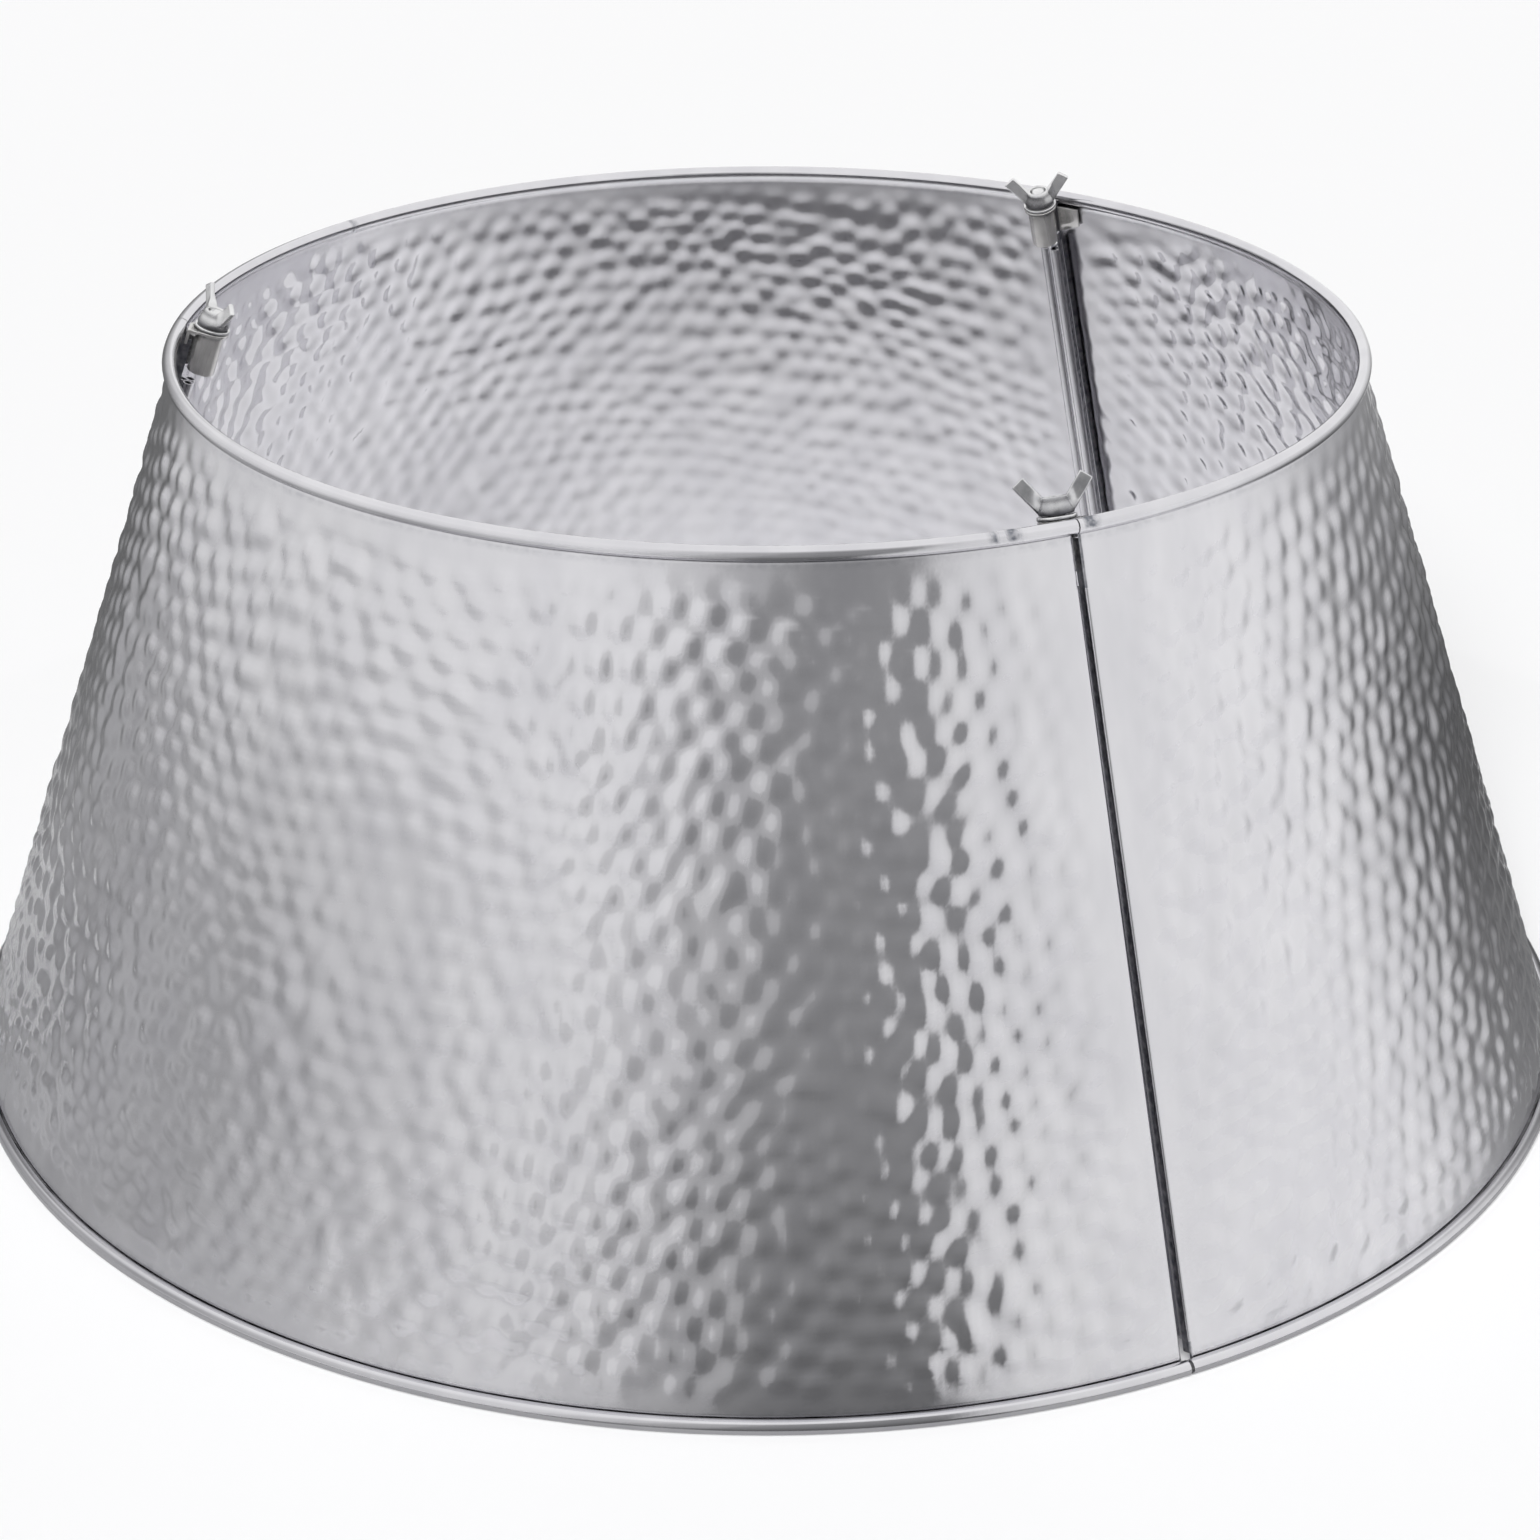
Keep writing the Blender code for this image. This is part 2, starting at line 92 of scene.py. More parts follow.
class Shell:
    """Gathers grids of points and the faces between them into one mesh."""

    def __init__(self) -> None:
        """Starts with no points."""
        self.points: list[Array] = []
        self.faces: list[list[int]] = []
        self.count = 0

    def add(self, points: Array) -> Array:
        """Adds points.

        Args:
            points: An array whose last axis holds x, y and z.

        Returns:
            The points' indices, in the shape of the array without its last axis.
        """
        shape = points.shape[:-1]
        index = np.arange(self.count, self.count + int(np.prod(shape))).reshape(shape)
        self.points.append(points.reshape(-1, 3))
        self.count += index.size
        return index

    def quads(self, index: Array, coupling: Coupling = Coupling.OPEN) -> None:
        """Spans quads between the neighbours of an index grid.

        Args:
            index: Indices in rows and columns.
            coupling: Whether the last row or column joins on to the first.
        """
        rows, columns = coupling.value
        grid = np.vstack([index, index[:1]]) if rows else index
        grid = np.hstack([grid, grid[:, :1]]) if columns else grid
        corners = (grid[:-1, :-1], grid[:-1, 1:], grid[1:, 1:], grid[1:, :-1])
        self.faces += np.stack(corners, -1).reshape(-1, 4).tolist()

    def cap(self, loop: Array) -> None:
        """Closes a loop of points with one flat face."""
        self.faces.append(loop.tolist())

    def tube(self, loops: Array) -> None:
        """Spans a tube from loop to loop and closes both its ends.

        Args:
            loops: The points of one loop in each row.
        """
        index = self.add(loops)
        self.quads(index, Coupling.ROUND)
        self.cap(index[0])
        self.cap(index[-1])

    def mesh(self, name: str, closed: bool = True) -> Mesh:
        """Makes the mesh.

        Args:
            name: The mesh's name.
            closed: True for closed shells, whose normals are then turned outwards.

        Returns:
            The smoothly shaded mesh.
        """
        mesh = bpy.data.meshes.new(name)
        mesh.from_pydata(np.concatenate(self.points).tolist(), [], self.faces)
        if closed:
            bm = bmesh.new()
            bm.from_mesh(mesh)
            bmesh.ops.remove_doubles(bm, verts=bm.verts, dist=WELD)
            bmesh.ops.recalc_face_normals(bm, faces=bm.faces)
            bm.to_mesh(mesh)
            bm.free()
        mesh.shade_smooth()
        return mesh


def around(steps: int) -> Array:
    """Angles spaced evenly round a circle, in one row."""
    return np.arange(steps)[None] * tau / steps


def circle(angle: Array) -> Array:
    """Points (cos a, sin a), on the last axis."""
    return np.stack([np.cos(angle), np.sin(angle)], -1)


def polar(radius: Array, angle: Array, height: Array) -> Array:
    """Points (r cos a, r sin a, h), on the last axis."""
    parts = np.broadcast_arrays(radius * np.cos(angle), radius * np.sin(angle), height)
    return np.stack(parts, -1)


def raised(outline: Array, height: Array) -> Array:
    """A plane outline's points, lifted to a height."""
    return np.column_stack([outline, np.broadcast_to(height, len(outline))])


def unit(vectors: Array) -> Array:
    """Vectors, one in each row, brought to length 1."""
    return vectors / np.maximum(np.linalg.norm(vectors, axis=1, keepdims=True), 1e-12)


def outline_normals(outline: Array) -> Array:
    """Unit normals at the points of a closed plane outline, to the right of its direction."""
    along = np.roll(outline, -1, 0) - np.roll(outline, 1, 0)
    return unit(np.stack([along[:, 1], -along[:, 0]], -1))


def rounded(corners: list, trims: tuple, steps: int = 5) -> Array:
    """Rounds the corners of a closed outline.

    Each corner C becomes the curve (1-q)^2 A + 2q(1-q) C + q^2 B for q from 0 to 1, where A and B
    lie on the two sides at the trim length from the corner.

    Args:
        corners: The outline's corners, one row each.
        trims: The length trimmed off the sides at each corner.
        steps: Points on each corner's curve.

    Returns:
        The rounded outline's points, one row each.
    """
    corners, trims = np.array(corners), np.array(trims)[:, None]
    start = (corners + unit(np.roll(corners, 1, 0) - corners) * trims)[:, None]
    stop = (corners + unit(np.roll(corners, -1, 0) - corners) * trims)[:, None]
    q = np.linspace(0, 1, steps)[None, :, None]
    curve = (1 - q) ** 2 * start + 2 * q * (1 - q) * corners[:, None] + q**2 * stop
    return curve.reshape(-1, 2)


def revolved(profile: Array, steps: int = 96) -> Shell:
    """Turns a closed outline about Z: point = (r cos a, r sin a, h).

    Args:
        profile: Rows of (radius, height).
        steps: Columns round the axis.

    Returns:
        A shell with the ring.
    """
    shell = Shell()
    points = polar(profile[:, :1], around(steps), profile[:, 1:])
    shell.quads(shell.add(points), Coupling.RING)
    return shell


def plate(shell: Shell, outline: Array, low: Array, high: Array, edge: float) -> None:
    """A plate from a closed outline given anticlockwise, with softened edges.

    Both faces are the outline drawn in by the edge. Between them stand the outline drawn in by a
    part of the edge and the outline itself, twice.

    Args:
        shell: Takes the plate.
        outline: Points in the XY plane.
        low: The bottom's height at each point.
        high: The top's height at each point.
        edge: Size of the softened edges.
    """
    inset, part = outline_normals(outline) * edge, 0.3
    lower = ((1, low), (part, low + edge * part), (0, low + edge))
    upper = ((0, high - edge), (part, high - edge * part), (1, high))
    shell.tube(np.stack([raised(outline - inset * draw, z) for draw, z in lower + upper]))


def bell(distance: Array, width: float) -> Array:
    """A bell-shaped fall from 1 at no distance: exp(-(distance / width)^2)."""
    return np.exp(-((distance / width) ** 2))


def places(mesh: Mesh) -> Array:
    """A mesh's points, one in each row."""
    place = np.empty(len(mesh.vertices) * 3)
    mesh.vertices.foreach_get("co", place)
    return place.reshape(-1, 3)


def paint(mesh: Mesh, name: str, values: Array) -> None:
    """Stores a value for each point of a mesh, for its finish to read."""
    mesh.attributes.new(name, "FLOAT", "POINT").data.foreach_set("value", values.ravel())


def add_piece(name: str, mesh: Mesh, material: Material) -> Object:
    """Links a mesh with its finish as an object of the scene."""
    piece = bpy.data.objects.new(name, mesh)
    mesh.materials.clear()
    mesh.materials.append(material)
    bpy.context.scene.collection.objects.link(piece)
    return piece


def apply_modifiers(piece: Object) -> None:
    """Bakes a piece's modifiers into its mesh."""
    graph = bpy.context.evaluated_depsgraph_get()
    made = bpy.data.meshes.new_from_object(piece.evaluated_get(graph))
    made.name = piece.name
    piece.modifiers.clear()
    piece.data = made


# ---- Finishes ----


class Bench:
    """A bench on which the nodes of a material or of the world are set out and wired."""

    def __init__(self, made: Material | World, shader: str = "Principled BSDF") -> None:
        """Clears a new material or world down to its shader and its output."""
        self.made = made
        self.made.use_nodes = True
        self.nodes, self.links = made.node_tree.nodes, made.node_tree.links
        self.shader = self.nodes[shader]

    def add(self, kind: str | Node, settings: dict | None = None, **inputs: object) -> Node:
        """Adds a node, or takes one that is there, and sets it.

        Args:
            kind: The new node's type, without its ShaderNode prefix, or the node.
            settings: Values for the node's own properties.
            **inputs: Values or sockets, by the input's name with _ for a blank, or by its number
                as in0, in1 and so on.

        Returns:
            The node.
        """
        node = self.nodes.new("ShaderNode" + kind) if isinstance(kind, str) else kind
        for key, value in (settings or {}).items():
            setattr(node, key, value)
        for key, value in inputs.items():
            number = key.removeprefix("in")
            socket = node.inputs[int(number) if number.isdigit() else key.replace("_", " ")]
            if isinstance(value, NodeSocket):
                self.links.new(value, socket)
            else:
                socket.default_value = value
        return node

    def noise(self, scale: float, detail: float = 3.0, stretch: tuple | None = None) -> NodeSocket:
        """A noise value on Object coordinates, which can be scaled axis by axis."""
        place = self.add("TexCoord").outputs["Object"]
        if stretch:
            place = self.add("Mapping", Vector=place, Scale=stretch).outputs[0]
        return self.add("TexNoise", Vector=place, Scale=scale, Detail=detail).outputs["Fac"]

    def stored(self, name: str) -> NodeSocket:
        """A value that is stored for each point of the mesh."""
        return self.add("Attribute", {"attribute_name": name}).outputs["Fac"]

    def mapped(self, value: NodeSocket, source: tuple, target: tuple = FULL_RANGE) -> NodeSocket:
        """Maps a value from one range to another, held at its ends."""
        ends = {"From_Min": source[0], "From_Max": source[1]}
        node = self.add("MapRange", Value=value, To_Min=target[0], To_Max=target[1], **ends)
        return node.outputs[0]

    def math(self, operation: str, first: object, second: object) -> NodeSocket:
        """One arithmetic step between two values."""
        return self.add("Math", {"operation": operation}, in0=first, in1=second).outputs[0]

    def blend(self, amount: object, first: object, second: object) -> NodeSocket:
        """Blends two colours by an amount."""
        node = self.add("Mix", {"data_type": "RGBA"}, in0=amount, in6=first, in7=second)
        return node.outputs[2]

    def bump(self, height: NodeSocket, depth: float) -> NodeSocket:
        """The direction of a skin whose height value reaches over a depth in metres."""
        return self.add("Bump", Height=height, Strength=1.0, Distance=depth).outputs[0]

    def complete(self, **inputs: object) -> Material | World:
        """Sets the shader's inputs, as for add, and returns the material or world."""
        self.add(self.shader, **inputs)
        return self.made


@dataclass(frozen=True)
class SheetFinish:
    """Bright galvanised sheet, satin, darker and duller with painted shade in its creases and
    seams and wear on its top bead.

    The scales are patches per metre. Dulled is the roughness that the full painted shade and wear
    add.
    """

    light: tuple = (0.738, 0.7325, 0.757, 1.0)
    dark: tuple = (0.662, 0.657, 0.687, 1.0)
    # Colour of the painted shade in the creases and seams, and of the scuff wear on the top bead.
    shade_and_wear_tone: tuple = (0.20, 0.21, 0.24, 1.0)
    roughness: tuple = (0.09, 0.17)
    grain: tuple = (-0.02, 0.03)
    dulled: float = 0.25
    cloud_scale: float = 9.0
    streak_scale: float = 60.0
    streak_stretch: tuple = (1.0, 1.0, 0.16)
    speck_scale: float = 320.0
    wipe_scale: float = 38.0
    grain_scale: float = 520.0
    skin_scale: float = 620.0
    skin_depth: float = 0.000016

    def material(self) -> Material:
        """Makes the material.

        Returns:
            A metal with cloudy tone, satin roughness, a fine skin, and painted shade and wear by
            attribute.
        """
        bench = Bench(bpy.data.materials.new("hammered_sheet_finish"))
        clouds = bench.mapped(bench.noise(self.cloud_scale), NOISE_RANGE)
        streaks = bench.noise(self.streak_scale, stretch=self.streak_stretch)
        streaks = bench.mapped(streaks, (0.35, 0.65))
        tone = bench.mapped(bench.math("ADD", clouds, streaks), (0.2, 1.8))
        colour = bench.blend(tone, self.dark, self.light)
        # Painted shade in the creases and seam folds, and scuff wear on the top bead, broken up by
        # fine noise.
        shade_and_wear = bench.stored("crease")
        broken = bench.mapped(bench.noise(self.speck_scale), (0.38, 0.62), (0.35, 1.0))
        colour = bench.blend(bench.math("MULTIPLY", shade_and_wear, broken), colour, self.shade_and_wear_tone)
        wiped = bench.mapped(bench.noise(self.wipe_scale, 4.0), NOISE_RANGE, self.roughness)
        grain = bench.mapped(bench.noise(self.grain_scale, 2.0), NOISE_RANGE, self.grain)
        rough = bench.math("ADD", wiped, grain)
        rough = bench.math("ADD", rough, bench.math("MULTIPLY", shade_and_wear, self.dulled))
        skin = bench.bump(bench.noise(self.skin_scale), self.skin_depth)
        return bench.complete(Metallic=1.0, Base_Color=colour, Roughness=rough, Normal=skin)


@dataclass(frozen=True)
class PlatingFinish:
    """Plating on a small hard part, with fine handling marks, worn tone and painted shade in its
    corners and under it.
    """

    name: str
    light: tuple
    dark: tuple
    roughness: tuple
    metal: float = 0.8
    # Colour of the painted shade under the part and in its corners.
    shade_and_wear_tone: tuple = (0.07, 0.07, 0.08, 1.0)
    dulled: float = 0.2
    patch_scale: float = 190.0
    mark_scale: float = 900.0
    mark_stretch: tuple = (1.0, 0.3, 1.0)
    skin_depth: float = 0.00001

    def material(self) -> Material:
        """Makes the material.

        Returns:
            A metal whose tone, roughness and skin vary in patches and in fine marks.
        """
        bench = Bench(bpy.data.materials.new(self.name))
        patches = bench.mapped(bench.noise(self.patch_scale), (0.34, 0.66))
        colour = bench.blend(patches, self.dark, self.light)
        # Painted shade: the part darkens where its mask marks shade between parts.
        shade_and_wear = bench.stored("crease")
        colour = bench.blend(shade_and_wear, colour, self.shade_and_wear_tone)
        marks = bench.noise(self.mark_scale, 4.0, self.mark_stretch)
        rough = bench.mapped(marks, NOISE_RANGE, self.roughness)
        rough = bench.math("ADD", rough, bench.math("MULTIPLY", shade_and_wear, self.dulled))
        skin = bench.bump(marks, self.skin_depth)
        return bench.complete(Metallic=self.metal, Base_Color=colour, Roughness=rough, Normal=skin)


# ---- Panels ----


@dataclass(frozen=True)
class Cone:
    """The cone on whose bead-centre lines the collar is laid out."""

    bottom_radius: float = 0.32725
    bottom_height: float = 0.00275
    top_radius: float = 0.23125
    top_height: float = 0.285324

    @property
    def slant(self) -> float:
        """Length of the wall from bead centre to bead centre."""
        return hypot(self.top_height - self.bottom_height, self.bottom_radius - self.top_radius)

    @property
    def taper(self) -> float:
        """Lean of the wall from the upright."""
        return atan2(self.bottom_radius - self.top_radius, self.top_height - self.bottom_height)

    def at(self, angle: Array, sideways: Array, along: Array) -> Array:
        """A point by its angle and its place in the upright section.

        radius = bottom_radius - along sin(taper) + sideways cos(taper)
        height = bottom_height + along cos(taper) + sideways sin(taper)

        Args:
            angle: Angle round the axis.
            sideways: Distance outwards, square to the line of bead centres.
            along: Distance up that line.

        Returns:
            The points, with x, y and z on the last axis.
        """
        radius = self.bottom_radius - along * sin(self.taper) + sideways * cos(self.taper)
        height = self.bottom_height + along * cos(self.taper) + sideways * sin(self.taper)
        return polar(radius, angle, height)

    def unrolled(self, angle: Array, along: Array) -> Array:
        """The same wall laid flat: distance rho = radius / sin(taper) from the cone's tip, turned
        by angle sin(taper), as x = rho sin(turn) and y = rho cos(turn)."""
        rho = (self.bottom_radius - along * sin(self.taper)) / sin(self.taper)
        turn = angle * sin(self.taper)
        return np.stack([rho * np.sin(turn), rho * np.cos(turn)], -1)


def waves(points: Array, wavelength: float, seed: int, count: int = 7) -> Array:
    """A smooth wandering value: the sum of sines of dot(k, p) + phase over random directions.

    Args:
        points: Points in the plane, on the last axis.
        wavelength: Rough distance from crest to crest.
        seed: Seed of the directions, lengths and phases.
        count: How many sines are summed.

    Returns:
        Values with a spread of about 1 round zero.
    """
    shortest, longest = 0.75, 1.4
    rng = np.random.default_rng(seed)
    turn = rng.uniform(0, tau, count)
    number = tau / (wavelength * rng.uniform(shortest, longest, count))
    k = np.stack([number * np.cos(turn), number * np.sin(turn)])
    return np.sin(points @ k + rng.uniform(0, tau, count)).sum(-1) * sqrt(2 / count)


def ramp(value: Array, start: float, stop: float) -> Array:
    """Smooth rise from 0 at start to 1 at stop: 3t^2 - 2t^3."""
    t = np.clip((value - start) / (stop - start), 0, 1)
    return t * t * (3 - 2 * t)


@dataclass(frozen=True)
class Hammering:
    """The hammered relief: round shallow domes in a loose six-sided pattern, with soft valleys.

    A length is the distance from crest to crest of a slow change.
    """

    seed: int
    spacing: float = 0.0126
    jitter: float = 0.11
    most_moved: float = 0.3
    height: float = 0.0014
    tall: tuple = (0.78, 1.16)
    reach: float = 0.27
    flatness: float = 1.2
    wander: float = 0.0020
    wander_length: float = 0.11
    strength: float = 0.95
    strength_swing: float = 0.14
    strength_limits: tuple = (0.6, 1.2)
    strength_length: float = 0.16
    sway: float = 0.00022
    sway_length: float = 0.2
    table: int = 128

    def depth(self, flat: Array) -> Array:
        """Height of the relief on the unrolled sheet.

        The sheet is first pushed about by slow waves. Round each point P of a six-sided lattice,
        moved at random, stands the dome a exp(-q^flatness), with q = |p - P|^2 / (2 R^2), R the
        reach as a share of the spacing and a a random height. The relief is the sum of the 25
        nearest domes, about its mean.

        Args:
            flat: Points of the unrolled sheet, on the last axis.

        Returns:
            Heights in metres, positive outwards.
        """
        push = [waves(flat, self.wander_length, self.seed + further) for further in (1, 2)]
        place = flat + np.stack(push, -1) * self.wander
        rows = place[..., 1] / (self.spacing * sqrt(3) / 2)
        columns = place[..., 0] / self.spacing - rows / 2
        near = np.array([(i, j) for i in range(-2, 3) for j in range(-2, 3)])
        column = np.floor(columns).astype(int)[..., None] + near[:, 0]
        row = np.floor(rows).astype(int)[..., None] + near[:, 1]
        rng = np.random.default_rng(self.seed)
        moved = rng.normal(0, self.jitter, (self.table, self.table, 2))
        moved = moved.clip(-self.most_moved, self.most_moved) * self.spacing
        tall = rng.uniform(*self.tall, (self.table, self.table))
        own = (column % self.table, row % self.table)
        centre = np.stack([column + row / 2, row * sqrt(3) / 2], -1) * self.spacing
        centre += moved[own]
        q = ((place[..., None, :] - centre) ** 2).sum(-1) / (2 * (self.reach * self.spacing) ** 2)
        level = (tall[own] * np.exp(-(q**self.flatness))).sum(-1)
        swing = waves(flat, self.strength_length, self.seed + 3)
        strength = (self.strength + self.strength_swing * swing).clip(*self.strength_limits)
        relief = (level - level.mean()) * self.height * strength
        return relief + self.sway * waves(flat, self.sway_length, self.seed + 4)


class Draft:
    """A panel's middle surface while it is laid out, with the painted shade and wear at each of
    its points.
    """

    def __init__(self, points: Array, shade_and_wear: Array) -> None:
        """Starts with the main grid of points and the painted shade and wear there."""
        self.shell = Shell()
        self.grid = self.shell.add(points)
        self.shell.quads(self.grid)
        self.shade_and_wear = [shade_and_wear]

    def join(self, rows: Array, side: int, points: Array, shade_and_wear: Array | float) -> None:
        """Joins further columns on to the main grid.

        Args:
            rows: The main grid's rows that they start from.
            side: -1 for its first column, 1 for its last.
            points: The new points, row by row.
            shade_and_wear: The painted shade and wear there.
        """
        fresh = self.shell.add(points)
        joined = np.column_stack([self.grid[rows, 0 if side < 0 else -1], fresh])
        self.shell.quads(joined if side > 0 else joined[:, ::-1])
        self.shade_and_wear.append(np.broadcast_to(shade_and_wear, fresh.shape))


@dataclass
class Panel:
    """One third of the collar: hammered wall, rolled top and bottom beads, folded upright edges.

    Pairs named for two sides give the panel's first seam, then its last. A side is -1 at the
    first seam and 1 at the last.
    """

    name: str
    seam: float
    hammering: Hammering
    cone: Cone = Cone()
    sweep: float = tau / 3
    sheet: float = 0.0005
    columns: int = 284
    wall_rows: int = 138
    bead_radius: float = 0.0025
    bead_overhang: float = 0.0011
    bead_steps: int = 12
    curl_slit: float = 0.0004
    seam_gap: float = 0.0024
    bead_gaps: tuple = (0.0013, 0.0005)  # Bottom, top.
    bead_columns: tuple = (1.0, 2.0, 2.85, 3.0)
    fold_radius: float = 0.0009
    fold_steps: int = 5
    flange_depth: float = 0.0092
    seam_curl_radius: float = 0.0018
    seam_curl_bulge: float = 0.0009
    seam_curl_steps: int = 9
    foot_gap: float = 0.004
    clamp_room: float = 0.0166
    lip_rooms: tuple = (0.0041, 0.0160)
    lip_depths: tuple = (0.0042, 0.0030)
    calm_zones: tuple = ((0.004, 0.024), (0.004, 0.018), (0.004, 0.022))  # Seams, bottom, top.
    # The crease line is painted shade where the wall meets the beads; the scuffs are wear on the
    # top bead.
    crease_width: float = 0.0016
    rim_width: float = 0.0012
    patchiness: tuple = (0.55, 0.3)
    scuffs: tuple = ((293.9, 0.5, 1.6), (292.2, 0.35, 1.4), (301.2, 0.6, 1.7), (143.6, 0.3, 1.2))
    # Painted shade: dark colour deep on the folded edges and their lips in the seams, and at the
    # beads' creases.
    flange_shade: tuple = ((0.0004, 0.0012, 0.0036, 0.0046), (0.1, 0.93, 0.93, 0.1))
    lip_shade: float = 0.93
    bead_crease_shade: float = 0.9
    sharp_angle: float = radians(50)

    def __post_init__(self) -> None:
        """Works out the upright section, and for each of its rows the radius and the inset, the
        angle from a seam to the main grid's end."""
        self.section, self.zone = self.upright_section()
        self.radius = self.cone.bottom_radius - self.section[:, 1:] * sin(self.cone.taper)
        self.end = asin((self.seam_gap + self.sheet) / 2 / self.cone.top_radius)
        self.inset = self.end + self.fold_radius / self.radius

    def roll(self, radius: float, overhang: float, steps: int) -> Array:
        """Section of a sheet edge rolled nearly full circle: (radius cos a, radius sin a).

        Args:
            radius: Radius of the roll's middle surface.
            overhang: How far the circle stands past the sheet it comes from.
            steps: Points on the roll.

        Returns:
            Rows of (sideways, along) from the roll's centre; the sheet arrives from +along.
        """
        inset = radius - overhang
        stop = tau + acos((self.sheet + self.curl_slit - inset) / radius)
        return radius * circle(np.linspace(acos(-inset / radius), stop, steps))

    def upright_section(self) -> tuple[Array, Array]:
        """Upright section of the panel, from the end of the bottom roll to that of the top one.

        Returns:
            Rows of (sideways, along), and the zone of each.
        """
        bead = self.roll(self.bead_radius, self.bead_overhang, self.bead_steps)
        crease = bead[0, 1]
        along = np.linspace(crease, self.cone.slant - crease, self.wall_rows)[1:-1]
        wall = np.stack([np.full_like(along, bead[0, 0]), along], -1)
        top = bead * (1, -1) + (0, self.cone.slant)
        zone = np.repeat(list(Zone), [len(bead), len(wall), len(bead)])
        return np.concatenate([bead[::-1], wall, top]), zone

    def flange_section(self) -> Array:
        """Level section of a folded edge: a quarter round, a flat and a curl away from the seam.

        Returns:
            Rows of (away from the seam, inwards) from the wall's end.
        """
        turn = np.linspace(0, pi / 2, self.fold_steps)
        fold = self.fold_radius * np.stack([1 - np.sin(turn), 1 - np.cos(turn)], -1)
        inset = self.seam_curl_radius - self.seam_curl_bulge
        deep = self.flange_depth - self.seam_curl_radius
        curl = self.roll(self.seam_curl_radius, self.seam_curl_bulge, self.seam_curl_steps)
        curl = np.stack([inset + curl[:, 0], deep - curl[:, 1]], -1)
        flat = np.linspace(fold[-1], curl[0], 5)[1:-1]
        return np.concatenate([fold, flat, curl])

    def surface(self) -> Draft:
        """The panel's middle surface.

        Wall and beads are one grid: the section's points, moved outwards by the relief, at angles
        spaced evenly between the wall's two ends. The beads run on to the seams as further columns
        and the folded edges hang on the wall's end columns. Plain lips carry the fold on to the
        beads, above and below the curled edges.

        Returns:
            The surface, with painted shade in its creases and seams and wear in scuffs.
        """
        sideways, along = self.section.T[..., None]
        local = self.inset + (self.sweep - 2 * self.inset) * np.linspace(0, 1, self.columns)
        angle = self.seam + local
        wall = self.zone == Zone.WALL
        calm = 1.0
        aside = np.minimum(local, self.sweep - local) * self.radius
        for distance, zone in zip((aside, along, self.cone.slant - along), self.calm_zones):
            calm = calm * ramp(distance, *zone)
        flat = self.cone.unrolled(angle[wall] - self.seam - self.sweep / 2, along[wall])
        relief = np.zeros_like(angle)
        relief[wall] = self.hammering.depth(flat) * calm[wall]
        draft = Draft(self.cone.at(angle, sideways + relief, along), self.crease_shade_and_scuffs(angle))
        rows = np.flatnonzero(wall)
        up, slant = self.section[rows, 1], self.cone.slant
        fold = rows[(up > up[0] + self.foot_gap) & (up < slant - self.clamp_room - self.foot_gap)]
        flange = self.flange_section()[1:]
        turned = flange[:self.fold_steps - 1]
        for side, deep, room in zip((-1, 1), self.lip_depths, self.lip_rooms):
            self.run_on(draft, side)
            # Painted shade, darkest deep in the seam between the folded edges.
            painted_shade = np.interp(flange[:, 1], *self.flange_shade)
            self.hang_flange(draft, fold, side, flange, painted_shade)
            short = np.concatenate([turned, turned[-1:] + ((0, deep - turned[-1, 1]),)])
            above = rows[(rows >= fold[-1]) & (up < slant - room)]
            below = rows[rows <= fold[0]]
            rim = np.arange(above[-1], rows[-1] + 2)
            foot = np.arange(rows[0] - 1, rows[0] + 1)
            bent = turned[:-1]
            for lip, steps in ((above, short), (below, short), (rim, bent), (foot, bent)):
                # The lips carry painted seam shade too.
                self.hang_flange(draft, lip, side, steps, self.lip_shade)
        return draft

    def crease_shade_and_scuffs(self, angle: Array) -> Array:
        """Painted shade where the wall meets the beads, patchy along the crease, and wear in
        scuffs on the top bead: the patches are mean + swing sin(23 a + 1.3) sin(9.1 a).

        Args:
            angle: Angle of the main grid's points.

        Returns:
            The painted shade and wear at each of them.
        """
        along, zone = self.section[:, 1:], self.zone[:, None]
        low = np.abs(along - self.bead_radius)
        high = np.abs(along - self.cone.slant + self.bead_radius)
        line = bell(np.minimum(low, high), self.crease_width) * (zone == Zone.WALL)
        mean, swing = self.patchiness
        patches = mean + swing * np.sin(angle * 23 + 1.3) * np.sin(angle * 9.1)
        rim = (zone == Zone.TOP_BEAD) & (along > self.cone.slant - self.rim_width)
        for place, width, depth in self.scuffs:
            off = (np.degrees(angle) - place + 180) % 360 - 180
            line = line + rim * depth * bell(off, width) / mean
        return line * patches

    def seam_at(self, side: int) -> float:
        """Angle of the seam on a side."""
        return self.seam + (self.sweep if side > 0 else 0)

    def run_on(self, draft: Draft, side: int) -> None:
        """Runs the two beads past the wall's end until they nearly meet the next panel's.

        Args:
            draft: Takes the new points.
            side: The side that they lie on.
        """
        radii = (self.cone.bottom_radius, self.cone.top_radius)
        share = np.array(self.bead_columns) / self.bead_columns[-1]
        for zone, gap, radius in zip((Zone.BOTTOM_BEAD, Zone.TOP_BEAD), self.bead_gaps, radii):
            rows = np.flatnonzero(self.zone == zone)
            inset, bead_end = self.inset[rows], asin(gap / 2 / radius)
            angle = self.seam_at(side) - side * (inset + (bead_end - inset) * share)
            points = self.cone.at(angle, *self.section[rows].T[..., None])
            crease = rows[-1] if zone == Zone.BOTTOM_BEAD else rows[0]
            # The crease's painted shade runs on along the beads.
            draft.join(rows, side, points, self.bead_crease_shade * (np.abs(rows - crease) < 2)[:, None])

